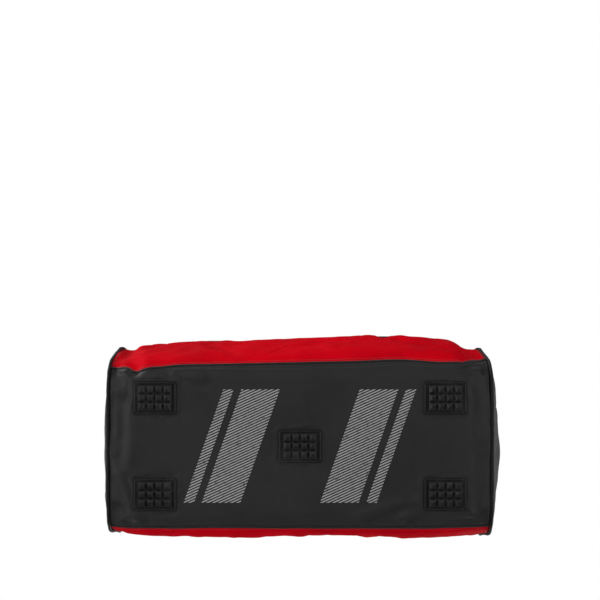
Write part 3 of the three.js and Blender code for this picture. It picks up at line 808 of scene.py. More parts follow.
RED_CLOTH = cloth(
    "red_nylon", RED, 1250, sheen=0.08, sheen_tint=(1, 0.0, 0.02), vary=0.08, gloss=0.008
)
BASE_CLOTH = printed_cloth("base_coated_nylon", (0.0116, 0.0116, 0.0121), (0.40, 0.40, 0.40))
END_CLOTH = cloth("end_nylon", (0.016, 0.016, 0.0165), 1250, sheen=0.06, gloss=0.3)
LINING = cloth("grey_lining", (0.045, 0.045, 0.048), 1100, 0.55, sheen=0.1, vary=0.12)
TAPE = cloth("zip_tape_weave", (0.014, 0.014, 0.015), 900, 0.75, sheen=0.15, vary=0.08)
PIPING = cloth("piping_cover", (0.006, 0.006, 0.0065), 1100, 0.5, sheen=0.03, vary=0.12, gloss=0.16)
BINDING = webbing_material("binding_tape", (0.010, 0.010, 0.011), rib=1.2, sheen=0.15)
WEBBING = webbing_material("webbing", (0.013, 0.013, 0.0135), rib=2.1, sheen=0.12)
RUBBER = moulded("foot_rubber", (0.0036, 0.0036, 0.0039), 0.42, gloss=0.24)
BOARD = moulded("board_plastic", (0.06, 0.062, 0.065), 0.6, grain=300)
TEETH = moulded("zip_teeth", (0.012, 0.012, 0.013), 0.35, grain=1500, depth=0.0001, gloss=0.55)
PAD = cloth("grip_neoprene", (0.017, 0.017, 0.018), 800, 0.7, vary=0.12, gloss=0.25)
GUNMETAL = metal("gunmetal", (0.12, 0.122, 0.128), 0.3)
RING_METAL = metal("ring_metal", (0.16, 0.162, 0.168), 0.28)
BLACK_THREAD = thread_material("black_thread", (0.045, 0.045, 0.047))
SEAM_THREAD = thread_material("grey_thread", (0.022, 0.022, 0.023))
RED_THREAD = thread_material("red_thread", (0.42, 0.004, 0.012))


# ---- cloth panels ----
X_IN = HALF_LENGTH - 0.4
SEAM_ROLL = 2.2  # how far cloth dips at a lengthwise seam, and at an end seam
END_DIP = 1.6


def rolled_in(t, distance, reach=7.0):
    """How far cloth dips towards a seam, distance millimetres away from it."""
    return -t * np.exp(-((distance / reach) ** 2))


def side_panel(name, start, end, node):
    """A red side between two lengthwise seams, rolled in along all four edges."""
    x = np.linspace(-X_IN, X_IN, 380)[:, None]
    t = np.linspace(0, 1, 110)[None]
    t = mix(0.5 - 0.5 * np.cos(t * math.pi), t, 0.6)
    phi = start(x) + (end(x) - start(x)) * t
    p = surface(x, phi)
    edge_a = np.linalg.norm(p - p[:, :1], axis=-1)
    edge_b = np.linalg.norm(p - p[:, -1:], axis=-1)
    dip = rolled_in(SEAM_ROLL, edge_a, 3.5) + rolled_in(SEAM_ROLL, edge_b, 3.5)
    dip = dip + rolled_in(END_DIP, HALF_LENGTH - np.abs(x) + 0 * phi, 3)
    p = p + skin_normal(x, phi) * dip[..., None]
    made = sheet(name, p, CLOTH, [RED_CLOTH, LINING])
    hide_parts(node)
    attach(made, "bag")


FEET = ["foot_centre", "foot_front_left", "foot_front_right", "foot_back_left", "foot_back_right"]


def base_panel():
    """The flat base, dimpled round each foot's flange and hemmed at its two seams."""
    x = np.linspace(-X_IN, X_IN, 420)[:, None]
    a, b = front_seam(x), back_seam(x)
    y_front = section(x, a, spline(x, FRONT_HALF_WIDTH))[..., 1]
    y_back = section(x, b, spline(x, BACK_HALF_WIDTH))[..., 1]
    want_y = y_front + (y_back - y_front) * np.linspace(0, 1, 260)[None]
    phi_fine = a + (b - a) * np.linspace(0, 1, 900)[None]
    y_fine = skin(x + 0 * phi_fine, phi_fine)[..., 1]
    phi = np.stack([np.interp(want_y[i], y_fine[i], phi_fine[i]) for i in range(len(x))])
    p = surface(x, phi)
    for node in FEET:
        low, high = box_mm(node)
        past = np.abs(p - (low + high) / 2) - (high - low) / 2
        away = np.maximum(past[..., 0], past[..., 1])
        p[..., 2] = mix(p[..., 2], high[2] + 0.25, smoothstep(away, 9, 0))
        p[..., 2] += 0.9 * np.exp(-(((away - 4.5) / 4) ** 2)) * ripple(p, 16, 21)
    dip = rolled_in(END_DIP, HALF_LENGTH - np.abs(x) + 0 * phi, 3)
    for seam in (0, -1):
        dip = dip + rolled_in(2.0, np.abs(p[..., 1] - p[:, seam, 1][:, None]), 2.5)
    p += skin_normal(x, phi) * dip[..., None]
    made = sheet("base_cloth_panel", p, CLOTH, [BASE_CLOTH, LINING])
    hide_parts("base_panel")
    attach(made, "bag")


def inside_box(x, y, size, corner):
    """How far points are inside a rounded rectangle."""
    dx, dy = np.abs(x) - size[0] / 2 + corner, np.abs(y) - size[1] / 2 + corner
    outside = np.hypot(np.maximum(dx, 0), np.maximum(dy, 0))
    return corner - outside - np.minimum(np.maximum(dx, dy), 0)


STUD = {"pitch": 13.0, "half": 6.1, "tip": 1.5}  # a foot has four columns and three rows of them
FLANGE_CORNER = 4.0


def foot_grid(size):
    """An even grid over a foot's flange, drawn in to its round corners."""
    x = np.linspace(-size[0] / 2, size[0] / 2, 273)[:, None]
    y = np.linspace(-size[1] / 2, size[1] / 2, 209)[None]
    x, y = np.broadcast_arrays(x, y)
    dx = np.abs(x) - size[0] / 2 + FLANGE_CORNER
    dy = np.abs(y) - size[1] / 2 + FLANGE_CORNER
    out = np.maximum(np.hypot(np.maximum(dx, 0), np.maximum(dy, 0)) / FLANGE_CORNER, 1)
    in_corner = (dx > 0) & (dy > 0)
    x = np.where(in_corner, np.sign(x) * (size[0] / 2 - FLANGE_CORNER + dx / out), x)
    y = np.where(in_corner, np.sign(y) * (size[1] / 2 - FLANGE_CORNER + dy / out), y)
    return x, y


def foot(node):
    """A moulded foot: a sewn flange, a raised block with a lip, and rows of blunt pyramids and thin fins."""
    low, high = box_mm(node)
    centre, size = (low + high) / 2, high - low
    flange, block, height = 1.8, 1.9, size[2]
    pitch = STUD["pitch"]
    x, y = foot_grid(size)
    in_flange = inside_box(x, y, size, FLANGE_CORNER)
    in_block = inside_box(x, y, size - 11 + (0, 4, 0), 2.0)
    drop = 0.5 + 1.3 * smoothstep(in_flange, 0, 0.9) - 0.35 * np.exp(-(((in_flange - 2.4) / 0.6) ** 2))
    lip = smoothstep(in_block, 0.3, 0.7) * smoothstep(in_block, 1.9, 1.5)
    drop += block * smoothstep(in_block, 0, 0.6) + 0.5 * lip
    cx = (x / pitch) % 1 * pitch - pitch / 2
    cy = ((y / pitch + 0.5) % 1) * pitch - pitch / 2
    across = np.maximum(np.abs(cx), np.abs(cy))
    stud = np.clip((STUD["half"] - across) / (STUD["half"] - STUD["tip"]), 0, 1)
    rows = np.abs(y) < 1.5 * pitch
    field = (np.abs(x) < 2 * pitch) & rows
    drop += np.where(field, (height - flange - block) * stud, 0)
    fin = np.exp(-(((pitch / 2 - np.abs(cx)) / 0.42) ** 2)) * (np.abs(x) < 1.5 * pitch) * rows
    drop += np.where(field, 1.3 * fin * (1 - stud), 0)
    z = high[2] - np.minimum(drop, height)
    grid = np.stack([x + centre[0], y + centre[1], z], -1)
    top = grid.copy()
    top[..., 2] = high[2]
    made = foot_solid(node, grid, top)
    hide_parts(node)
    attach(made, "bag")
    inset, short = 2.4, 2
    half = size[:2] / 2 - inset
    lines = []
    for a, b in (
        ((-half[0] + short, -half[1]), (half[0] - short, -half[1])),
        ((half[0], -half[1] + short), (half[0], half[1] - short)),
    ):
        for flip in (1, -1):
            row = np.linspace(a, b, 12) * flip
            depth = np.full(12, high[2] - 1.6)
            spot = np.stack([row[:, 0] + centre[0], row[:, 1] + centre[1], depth], 1)
            lines.append((spot, np.tile(-UP, (12, 1))))
    stitches(node + "_stitching", lines, SEAM_THREAD, "bag")


def foot_solid(node, grid, top):
    """A closed solid between a foot's moulded face and its flat back."""
    nu, nv = grid.shape[:2]
    n = nu * nv
    verts = np.concatenate([grid.reshape(-1, 3), top.reshape(-1, 3)])
    i, j = np.arange(nu - 1)[:, None], np.arange(nv - 1)[None]
    quads = np.stack([(a * nv + b).ravel() for a, b in ((i, j), (i, j + 1), (i + 1, j + 1), (i + 1, j))], 1)
    edge = np.concatenate([
        np.arange(nv), np.arange(1, nu) * nv + nv - 1,
        (nu - 1) * nv + np.arange(nv - 2, -1, -1), np.arange(nu - 2, 0, -1) * nv,
    ])
    after = np.roll(edge, -1)
    wall = np.stack([edge, edge + n, after + n, after], 1)
    faces = quads.tolist() + wall.tolist() + [list(map(int, (edge + n)[::-1]))]
    return new_object(node + "_moulding", verts, faces, None, [RUBBER], sharp=32)


base_panel()
for node in FEET:
    foot(node)
side_panel("back_cloth_panel", back_seam, back_top_seam, "back_panel")
side_panel(
    "front_cloth_panel", front_top_seam, lambda x: front_seam(x) + 2 * math.pi, "front_panel"
)


# ---- top: the surround, the lid and the zip between them ----
SIDE_STEPS = 60
FABRIC_EDGE = 6.0  # from the zip's line to the edge of the fabric
OPEN_BACK = HINGE_Y + 4


def opening_outline(inset, back_y):
    """The U of the opening in plan, from back left to back right, and its inward normals."""
    half, front, r = ZIP_HALF_X - inset, ZIP_Y + inset, ZIP_CORNER - inset
    side = np.linspace(back_y, front + r, SIDE_STEPS)
    turn = np.linspace(0, math.pi / 2, 26)
    run = np.linspace(-half + r, half - r, 150)
    left = np.stack([-half + 0 * side, side], 1)
    corner = np.stack([-half + r - r * np.cos(turn), front + r - r * np.sin(turn)], 1)
    base = np.stack([run, front + 0 * run], 1)
    other = corner[::-1] * (-1, 1)
    right = left[::-1] * (-1, 1)
    path = np.concatenate([left, corner[1:], base[1:], other[1:], right[1:]])
    along = unit(np.gradient(path, axis=0))
    return path, np.stack([-along[:, 1], along[:, 0]], 1)


def on_top(xy, outset=0.0):
    """Points of the cloth on top of the bag over plan points."""
    x, y = xy[..., 0], xy[..., 1]
    return surface(x, top_phi(x, y), outset)


def top_normal(xy):
    return skin_normal(xy[..., 0], top_phi(xy[..., 0], xy[..., 1]))


def flat(xy):
    """Plan points as points in space, for a ripple that only looks at the plan."""
    return np.append(xy, 0 * xy[..., :1], -1)


def surround_panel():
    """The red top round the opening, in one piece with the strip behind the hinge."""
    path, inward = opening_outline(0, OPEN_BACK)
    edge = path - inward * FABRIC_EDGE
    n = len(edge)
    back = np.linspace(edge[-1], edge[0], 120)[1:-1]
    loop = np.concatenate([edge, back])
    inner_angle = top_phi(loop[:, 0], loop[:, 1])
    on_side = np.zeros(len(loop), bool)
    on_side[:SIDE_STEPS] = True
    on_side[n - SIDE_STEPS : n] = True
    spread = np.clip(loop[:, 0] * X_IN / (ZIP_HALF_X * 0.93), -X_IN, X_IN)
    x_out = np.where(on_side, np.sign(loop[:, 0]) * X_IN, spread)
    front_end = ZIP_Y + ZIP_CORNER
    t_side = np.clip((loop[:, 1] - front_end) / (OPEN_BACK - front_end), 0, 1)
    angle_front, angle_back = math.pi - SEAM_HIGH, SEAM_HIGH
    angle_side = angle_front + (angle_back - angle_front) * t_side
    angle_end = np.where(loop[:, 1] < 0, angle_front, angle_back)
    outer_angle = np.where(on_side, angle_side, angle_end)
    t = np.linspace(0, 1, 26)[None]
    x = loop[:, :1] + (x_out[:, None] - loop[:, :1]) * t
    phi = inner_angle[:, None] + (outer_angle[:, None] - inner_angle[:, None]) * t
    p = surface(x, phi)
    outer_gap = np.linalg.norm(p - p[:, -1:], axis=-1)
    inner_gap = np.linalg.norm(p - p[:, :1], axis=-1)
    dip = rolled_in(SEAM_ROLL, outer_gap, 4) + rolled_in(0.6, inner_gap, 2)
    p += skin_normal(x, phi) * dip[..., None]
    made = sheet("top_cloth_surround", p, CLOTH, [RED_CLOTH, LINING], wrap=True)
    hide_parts("top_surround")
    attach(made, "bag")


def lid_cloth():
    """The lid, softly domed between its zip and the fold at its hinge."""
    half, front = ZIP_HALF_X - FABRIC_EDGE, ZIP_Y + FABRIC_EDGE
    r = ZIP_CORNER - FABRIC_EDGE
    y = np.linspace(0, 1, 120)[:, None]
    y = front + (HINGE_Y - front) * (0.5 * y + 0.5 * y**1.6)
    into = np.clip((front + r - y) / r, 0, 1)
    width = half - r + r * np.sqrt(np.clip(1 - into**2, 0, 1))
    across = np.linspace(-1, 1, 260)[None]
    xy = np.stack([width * across, y + 0 * across], -1)
    edge = np.minimum(half - np.abs(xy[..., 0]), xy[..., 1] - front)
    swell = 1.5 * smoothstep(edge, 0, 30) + ripple(flat(xy), 90, 31) * smoothstep(edge, 5, 40)
    swell = swell * smoothstep(HINGE_Y - xy[..., 1], 0, 20) - 0.6 * np.exp(-((edge / 2.5) ** 2))
    p = on_top(xy, swell)
    made = sheet("lid_cloth_panel", p, CLOTH, [RED_CLOTH, LINING], outward=UP)
    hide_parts("lid_panel")
    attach(made, "lid")


def zip_tape(name, inner, outer, level, back_y, body, node):
    """One side of the top zip's tape, between two distances outwards from the zip's line."""
    path, inward = opening_outline(0, back_y)
    widths = np.linspace(inner, outer, 6)
    rows = path[:, None] - inward[:, None] * widths[None, :, None]
    p = on_top(rows, level)
    made = sheet(name, p, 0.9, [TAPE], outward=UP)
    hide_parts(node)
    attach(made, body)


TOOTH = (2.9, 2.0, 1.9)
TOOTH_PITCH = 2.9


def teeth(name, path, normals, offset, size, pitch, body, node, start=0.0):
    """One half of a zip: moulded teeth across the line, on their beaded cord."""
    along_all = tangents(path)
    side = unit(np.cross(normals, along_all))
    row = path + side * offset
    centres, along, up = along_path(row, normals, pitch)
    across = unit(np.cross(up, along))
    centres = centres + along * start
    made = grains(name, centres, across, up, size, TEETH)
    if node:
        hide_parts(node)
    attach(made, body)
    bead = path + side * offset * 1.75
    cord = sweep(name + "_bead", bead, side, normals, round_outline(0.75, 8), [TAPE])
    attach(cord, body)


def top_zip():
    """The two halves of the top zip, the bag's and the lid's."""
    plan, _ = opening_outline(0, HINGE_Y - 1)
    path, normals = on_top(plan, 0.4), top_normal(plan)
    teeth("body_zip_teeth", path, normals, -1.35, TOOTH, TOOTH_PITCH, "bag", "body_zip_coil")
    teeth("lid_zip_teeth", path, normals, 1.35, TOOTH, TOOTH_PITCH, "lid", "lid_zip_coil", TOOTH_PITCH / 2)
    zip_tape("body_zip_tape_cloth", 0.4, 13, -2.2, HINGE_Y + 1, "bag", "body_zip_tape")
    zip_tape("lid_zip_tape_cloth", -0.4, -13, -2.2, HINGE_Y - 1, "lid", "lid_zip_tape")


def edge_rows(name, offsets, back_y, body):
    """Rows of stitching beside the zip, on one side of it."""
    path, inward = opening_outline(0, back_y)
    rows = [path + inward * offset for offset in offsets]
    lines = [(on_top(row, 0.45), top_normal(row)) for row in rows]
    stitches(name, lines, RED_THREAD, body)


def hinge_strip():
    """The lid's cloth where it folds: a stitched-down strip from the bag over onto the lid."""
    half = ZIP_HALF_X - FABRIC_EDGE - 1
    x = np.linspace(-half, half, 220)[:, None]
    y = np.linspace(HINGE_Y + 13, HINGE_Y - 11, 40)[None]
    xy = np.stack([x + 0 * y, y + 0 * x], -1)
    t = (y - HINGE_Y) / 12
    lift = 1.5 - 0.7 * np.exp(-((t / 0.14) ** 2)) + 0.3 * ripple(flat(xy), 24, 33)
    made = sheet("hinge_strip", on_top(xy, lift + 0 * x), 1.3, [RED_CLOTH, LINING], outward=UP)
    z = (on_top(np.array([0.0, HINGE_Y])))[2] * MM
    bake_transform(made)
    for side, body, at in ((1, "bag", 10.5), (-1, "lid", 8.5)):
        row = np.stack([x[3:-3, 0], HINGE_Y + side * at + 0 * x[3:-3, 0]], -1)
        lines = [(on_top(row, 1.75), top_normal(row))]
        stitches(f"hinge_stitching_{body}", lines, RED_THREAD, body)


surround_panel()
lid_cloth()
hinge_strip()
top_zip()
edge_rows("surround_zip_stitching", (-8.2, -11.8), HINGE_Y, "bag")
edge_rows("lid_zip_stitching", (8.2, 11.8), HINGE_Y - 4, "lid")


# ---- seams along the bag ----
def seam_stitching(name, angle_of, aside, material):
    """Topstitching beside a lengthwise seam. aside holds millimetres from it, positive as the angle grows."""
    lines = []
    reach = HALF_LENGTH - 9
    x = np.linspace(-reach, reach, 420)
    for offset in aside:
        phi = angle_of(x)
        here = skin(x, phi)
        near = skin(x, phi + 0.01)
        per_mm = 0.01 / np.linalg.norm(near - here, axis=1)
        lines.append(on_surface(x, phi + offset * per_mm, 0.25 + rolled_in(SEAM_ROLL, offset, 3.5)))
    stitches(name, lines, material, "bag")


def welt(name, angle_of, radius, material, sink=1.6):
    """The turned edge that fills a lengthwise seam."""
    x = np.linspace(-X_IN + 1, X_IN - 1, 420)
    phi = angle_of(x)
    path, normals = on_surface(x, phi, -sink)
    along = tangents(path)
    side = unit(np.cross(normals, along))
    made = sweep(name, path, side, normals, round_outline(radius, 10), [material])
    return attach(made, "bag")


welt("front_base_seam", front_seam, 1.5, BINDING, 0.8)
welt("back_base_seam", back_seam, 1.5, BINDING, 0.8)
welt("front_top_seam", front_top_seam, 1.3, RED_CLOTH, 1.4)
welt("back_top_seam", back_top_seam, 1.3, RED_CLOTH, 1.4)
seam_stitching("front_base_stitching", front_seam, (4.0, 8.2), SEAM_THREAD)
seam_stitching("back_base_stitching", back_seam, (-4.0, -8.2), SEAM_THREAD)
seam_stitching("front_side_stitching", front_seam, (-4.6,), RED_THREAD)
seam_stitching("back_side_stitching", back_seam, (4.6,), RED_THREAD)
seam_stitching("front_top_stitching", front_top_seam, (-4.4, 4.4), RED_THREAD)
seam_stitching("back_top_stitching", back_top_seam, (4.4, -4.4), RED_THREAD)


# ---- ends ----
# Creases of an end panel, as folds on its flat pattern. The other end has them the other way round.
END_CREASES = [
    ((0, -132, 36), (0, -58, 96), 9, -2.8),
    ((0, -118, 30), (0, -84, 44), 8, 1.8),
    ((0, 132, 46), (0, 62, 84), 10, -2.6),
    ((0, -24, 196), (0, -62, 112), 9, -2.2),
    ((0, 26, 192), (0, 48, 108), 10, -2.0),
    ((0, -142, 150), (0, -84, 170), 9, -2.2),
    ((0, 140, 196), (0, 90, 166), 9, -1.8),
]


def end_dome(side, name, node):
    """An end panel: swollen, gathered at its seam, and pressed in under the ring tab."""
    bulge = RIGHT_BULGE if side > 0 else LEFT_BULGE
    spokes, rings = 240, 90
    angles = np.linspace(0, 2 * math.pi, spokes, endpoint=False)[:, None]
    rho = np.linspace(0.0001, 1, rings)[None] ** 0.85
    rim = surface(side * X_IN + 0 * angles, angles)
    p = np.zeros((spokes, rings, 3))
    p[..., 1] = rho * rim[..., 1]
    p[..., 2] = WAIST + rho * (rim[..., 2] - WAIST)
    high = smoothstep(p[..., 2], 190, 225) * smoothstep(np.abs(p[..., 1]), 60, 25)
    swell = mix(bulge, CAD_BULGE, high) * (1 - rho**BULGE_POWER)
    swell *= 1 - 0.42 * np.clip((WAIST - p[..., 2]) / 100, 0, 1)
    wave, wave_fine = ripple(p, 120, 41 + side), ripple(p, 42, 45 + side)
    loose = 1 - high
    gather = np.cos(angles * 46 + 3 * np.sin(angles * 5)) * (0.5 + 0.5 * np.sin(angles * 7 + side))
    pattern = p * (0, side, 1)
    creases = sum(fold(pattern, *f) for f in END_CREASES)
    swell += loose * (2.2 * wave + 1.1 * wave_fine + creases) * (1 - rho**6)
    swell += 10 * gather * rho**9 * (1 - rho)
    p[..., 0] = side * (HALF_LENGTH + END_OUTSET + swell)
    made = sheet(name, p, CLOTH, [END_CLOTH, LINING], outward=side * ALONG, wrap=True)
    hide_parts(node)
    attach(made, "bag")
    row = int(rings * 0.955)
    ring = np.append(p[:, row], p[:1, row], 0)
    outward = np.tile(side * ALONG, (len(ring), 1))
    line = (ring + outward * 0.25, outward)
    stitches(name + "_stitching", [line], BLACK_THREAD, "bag")


def end_piping(side, name, node):
    """Corded piping round an end seam, with the edge of its cover stitched down beside it."""
    angles = np.linspace(0, 2 * math.pi, 420, endpoint=False)
    x = side * (HALF_LENGTH - 0.2)
    path = skin(x + 0 * angles, angles)
    path += 1.1 * skin_normal(side * (HALF_LENGTH - 2) + 0 * angles, angles)
    normals = skin_normal(side * (HALF_LENGTH - 2) + 0 * angles, angles)
    normals[:, 0] = 0
    normals = unit(normals)
    across = np.tile(ALONG, (len(path), 1))
    wander = 1 + 0.05 * np.sin(angles * 37) + 0.04 * np.sin(angles * 61 + 1)
    outline = round_outline(2.4, 12)[None] * wander[:, None, None]
    made = sweep(name, path, across, normals, outline, [PIPING], closed=True)
    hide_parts(node)
    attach(made, "bag")
    beside = surface(side * (HALF_LENGTH - 5.5) + 0 * angles, angles, 0.15)
    beside = np.append(beside, beside[:1], 0)
    up = np.append(normals, normals[:1], 0)
    stitches(name + "_stitching", [(beside, up)], SEAM_THREAD, "bag")


for word, side in (("left", -1), ("right", 1)):
    end_dome(side, word + "_end_cloth", word + "_end_panel")
    end_piping(side, word + "_corded_piping", word + "_piping")


# ---- carry handles ----
STRAP_WIDTH = 38
GRIPPED_WIDTH = 21  # where the webbing is gathered into its grip
STRAP_THICK = 2.4
HANDLE_LEAN = math.radians(5)


def handle(word, side):
    """The webbing that turns on edge towards its padded grip, laid over the CAD's own handle."""
    body = word + "_handle"
    low, high = box_mm(word + "_handle_grip")
    grip_centre = (low + high) / 2
    hinge_y = joint_mm(body + "_hinge")[1]
    foot_point = np.array([0, hinge_y, box_mm(word + "_handle_strap")[0][2] + 0.26])
    up = np.array([0, -side * math.sin(HANDLE_LEAN), math.cos(HANDLE_LEAN)])
    out = np.array([0, side * math.cos(HANDLE_LEAN), math.sin(HANDLE_LEAN)])
    rise = (grip_centre - foot_point) @ up
    shape = [(-140, -0.4), (-138, 34), (-128, 78), (-106, 118)]
    shape += [(-82, rise - 13), (-64, rise - 1), (-46, rise)]
    points = shape + [(0, rise)] + [(-x, y) for x, y in shape[::-1]]
    flat_path = smooth_path([(x, y, 0) for x, y in points], 241)
    path = foot_point + flat_path[:, :1] * ALONG + flat_path[:, 1:2] * up
    t = np.linspace(0, 1, len(path))
    fade = smoothstep(np.minimum(t, 1 - t), 0.1, 0.34)
    along = tangents(path)
    flat_side = unit(np.cross(along, out))
    turn = fade * math.pi / 2
    across = flat_side * np.cos(turn)[:, None] + out * np.sin(turn)[:, None]
    depth = unit(np.cross(along, across))
    width = mix(STRAP_WIDTH, GRIPPED_WIDTH, fade)
    outlines = np.array([strap_outline(w, STRAP_THICK, 9) for w in width])
    cup = 2.2 * np.sin(fade * math.pi)
    outlines[..., 1] += cup[:, None] * ((outlines[..., 0] / (width[:, None] / 2)) ** 2 - 0.4)
    strap = sweep(word + "_webbing", path, across, depth, outlines, [WEBBING])
    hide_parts(word + "_handle_strap")
    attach(strap, body)
    lines = []
    for edge in (-1, 1):
        for run in (slice(4, 74), slice(len(path) - 74, len(path) - 4)):
            offset = edge * (width[run] / 2 - 3.2)
            lift = 1.35 + cup[run] * ((offset / (width[run] / 2)) ** 2 - 0.4)
            row = path[run] + across[run] * offset[:, None] + depth[run] * lift[:, None]
            lines += [(row, depth[run]), (row - depth[run] * 2.7, -depth[run])]
    stitches(word + "_webbing_stitching", lines, BLACK_THREAD, body)
    padded_grip(word, body, grip_centre, up, out)
    for end in ("left", "right"):
        anchor(word, end, side)


def padded_grip(word, body, centre, up, out):
    """A foam sleeve wrapped round the webbing and closed with a stitched overlap underneath."""
    half, radius, flatness = 54.0, 14.6, 0.93
    s = np.linspace(-1, 1, 150)[:, None]
    a = np.linspace(0, 2 * math.pi, 84, endpoint=False)[None]

    def tube(r):
        return np.stack(np.broadcast_arrays(s * 70, r * np.cos(a), r * np.sin(a)), -1)

    rounded = np.clip(1 - np.abs(s) ** 14, 0, 1) ** 0.5
    squeeze = 1 - 0.05 * np.exp(-((s / 0.55) ** 2))
    base = radius * squeeze * (0.80 + 0.20 * rounded)
    wrinkled = np.exp(-(((np.abs(s) - 0.85) / 0.18) ** 2))
    r = base + 0.5 * ripple(tube(30), 36, 51)
    r = r + 0.22 * ripple(tube(10), 11, 52, (1, 0.3, 0.3)) * wrinkled
    underneath, groove = -math.pi / 2, 0.34
    turn = (a - underneath + math.pi) % (2 * math.pi) - math.pi
    r = r + 1.1 * smoothstep(turn, -0.08, 0.03) * smoothstep(turn, 0.9, 0.1)
    r = r - 0.9 * np.exp(-(((turn - groove) / 0.05) ** 2))
    core = centre + (s * half + 0 * a)[..., None] * ALONG
    around = (r * np.sin(a))[..., None] * up + (flatness * r * np.cos(a))[..., None] * out
    p = core + around
    swapped = p.transpose(1, 0, 2)
    made = sheet(
        word + "_padded_grip", swapped, 3.0, [PAD, LINING], around.transpose(1, 0, 2), wrap=True
    )
    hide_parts(word + "_handle_grip")
    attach(made, body)
    lines = []
    for end in (-0.94, 0.94):
        ring = p[int(np.argmin(np.abs(s[:, 0] - end)))]
        normal = unit(ring - ring.mean(0))
        lines.append((np.append(ring, ring[:1], 0), np.append(normal, normal[:1], 0)))
    column = int(np.argmin(np.abs(turn[0] - groove)))
    row = p[6:-6, column]
    normal = unit(row - core[6:-6, column])
    lines.append((row + normal * 0.2, normal))
    stitches(word + "_grip_stitching", lines, BLACK_THREAD, body)
    for end, ring in (("left", p[3]), ("right", p[-4])):
        middle = ring.mean(0)
        normal = unit(ring - middle)
        path = middle + (ring - middle) * 0.985
        across = np.tile(ALONG, (len(path), 1))
        outline = strap_outline(6.5, 1.3)
        band = sweep(f"{word}_grip_binding_{end}", path, across, normal, outline, [BINDING], closed=True)
        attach(band, body)


def anchor(word, end, side):
    """The webbing sewn flat to the bag under a handle, with a box and cross of stitching."""
    node = f"handle_anchor_{word}_{end}"
    low, high = box_mm(node)
    x = (low[0] + high[0]) / 2
    front = side < 0
    steps = 60
    below, above, outset = 5, 4.5, 1.35
    start = angle_at_height(low[2] - below, x, front)
    end_angle = angle_at_height(high[2] + above, x, front)
    angles = np.linspace(start, end_angle, steps)
    path = surface(x + 0 * angles, angles, outset)
    leave = smoothstep(np.linspace(0, 1, steps), 0.62, 1.0)[:, None]
    below_hinge = 0.81
    last = joint_mm(word + "_handle_hinge") + (x, 0, -below_hinge)
    path = path + (last - path[-1]) * leave
    smooth = smooth_path(path[::6].tolist() + [path[-1]], steps)
    normals = skin_normal(x + 0 * angles, angles)
    across = np.tile(ALONG, (steps, 1))
    outline = strap_outline(STRAP_WIDTH, 2.5, 9)
    made = sweep(f"{word}_{end}_anchor_webbing", smooth, across, normals, outline, [WEBBING])
    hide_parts(node)
    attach(made, "bag")
    lift, half = 1.45, 15.5

    def at(k, u):
        """Places on the webbing's face, k steps up it and u millimetres across."""
        where = np.stack([np.interp(k, np.arange(steps), smooth[:, i]) for i in range(3)], 1)
        normal = np.stack([np.interp(k, np.arange(steps), normals[:, i]) for i in range(3)], 1)
        return where + np.outer(u, ALONG) + normal * lift, normal

    k, u = np.linspace(6, 42, 30), np.linspace(-half, half, 30)
    lines = [at(k, 0 * k - half), at(k, 0 * k + half), at(0 * u + k[0], u), at(0 * u + k[-1], u)]
    lines += [at(k, u), at(k, -u)]
    stitches(f"{word}_{end}_anchor_stitching", lines, BLACK_THREAD, "bag")


handle("front", -1)
handle("back", 1)


# ---- front pocket ----
def pocket():
    """A zip set into the front panel under a stitched frame of tape."""
    tape_low, tape_high = box_mm("pocket_zip_tape")
    coil_low, coil_high = box_mm("pocket_zip_coil")
    middle = angle_at_height((coil_low[2] + coil_high[2]) / 2 - 1.2, 0, True)
    per_mm = 1 / 168  # section angle, in radians, to a millimetre up the front panel here
    half_width = 12.0
    x = np.linspace(tape_low[0], tape_high[0], 260)
    for tag, near, far in (("upper", 0.05, half_width), ("lower", -0.05, -half_width)):
        t = np.linspace(near, far, 10)[None]
        phi = middle - t * per_mm
        lip = 0.85 + 0.9 * smoothstep(np.abs(t), 4.2, 5.4) - 0.5 * smoothstep(np.abs(t), 10.5, 12)
        p = surface(x[:, None] + 0 * t, phi + 0 * x[:, None], lip + 0 * x[:, None])
        made = sheet(f"pocket_{tag}_tape", p, 0.9, [TAPE])
        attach(made, "bag")
        if tag == "upper":
            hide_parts("pocket_zip_tape")
    run = np.linspace(coil_low[0], coil_high[0], 200)
    phi = middle + 0 * run
    path, normals = on_surface(run, phi, 1.9)
    teeth("pocket_upper_teeth", path, normals, -1.1, (2.4, 1.5, 1.5), 2.3, "bag", "pocket_zip_coil")
    teeth("pocket_lower_teeth", path, normals, 1.1, (2.4, 1.5, 1.5), 2.3, "bag", None, 1.15)
    lines = []
    for offset in (-9.6, 9.6, -6.4, 6.4):
        lines.append(on_surface(x[3:-3], middle + offset * per_mm + 0 * x[3:-3], 2.0))
    up = np.linspace(-9.6, 9.6, 12) * per_mm
    for at in (x[4], x[-5]):
        lines.append(on_surface(at + 0 * up, middle + up, 2.0))
    stitches("pocket_stitching", lines, BLACK_THREAD, "bag")
    end_phi = np.linspace(-half_width, half_width, 12)[None] * per_mm + middle
    for tag, at in (("left", tape_low[0]), ("right", tape_high[0] - 8)):
        xs = np.linspace(at, at + 8, 8)[:, None]
        p = surface(xs + 0 * end_phi, end_phi + 0 * xs, 2.6 + 0 * xs + 0 * end_phi)
        made = sheet(f"pocket_end_tab_{tag}", p, 1.6, [WEBBING])
        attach(made, "bag")


def pocket_bag():
    """The pocket's lining, hanging flat behind the front panel."""
    low, high = box_mm("pocket_lining")
    x = np.linspace(low[0], high[0], 90)[:, None]
    top, bottom = angle_at_height(high[2], 0, True), angle_at_height(low[2], 0, True)
    phi = np.linspace(top, bottom, 70)[None] + 0 * x
    sag = 1.2 * ripple(skin(x, phi), 45, 71)
    p = surface(x, phi, -CLOTH - 3.4 + sag)
    made = sheet("pocket_bag_lining", p, 1.2, [LINING])
    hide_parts("pocket_lining")
    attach(made, "bag")


pocket()
pocket_bag()


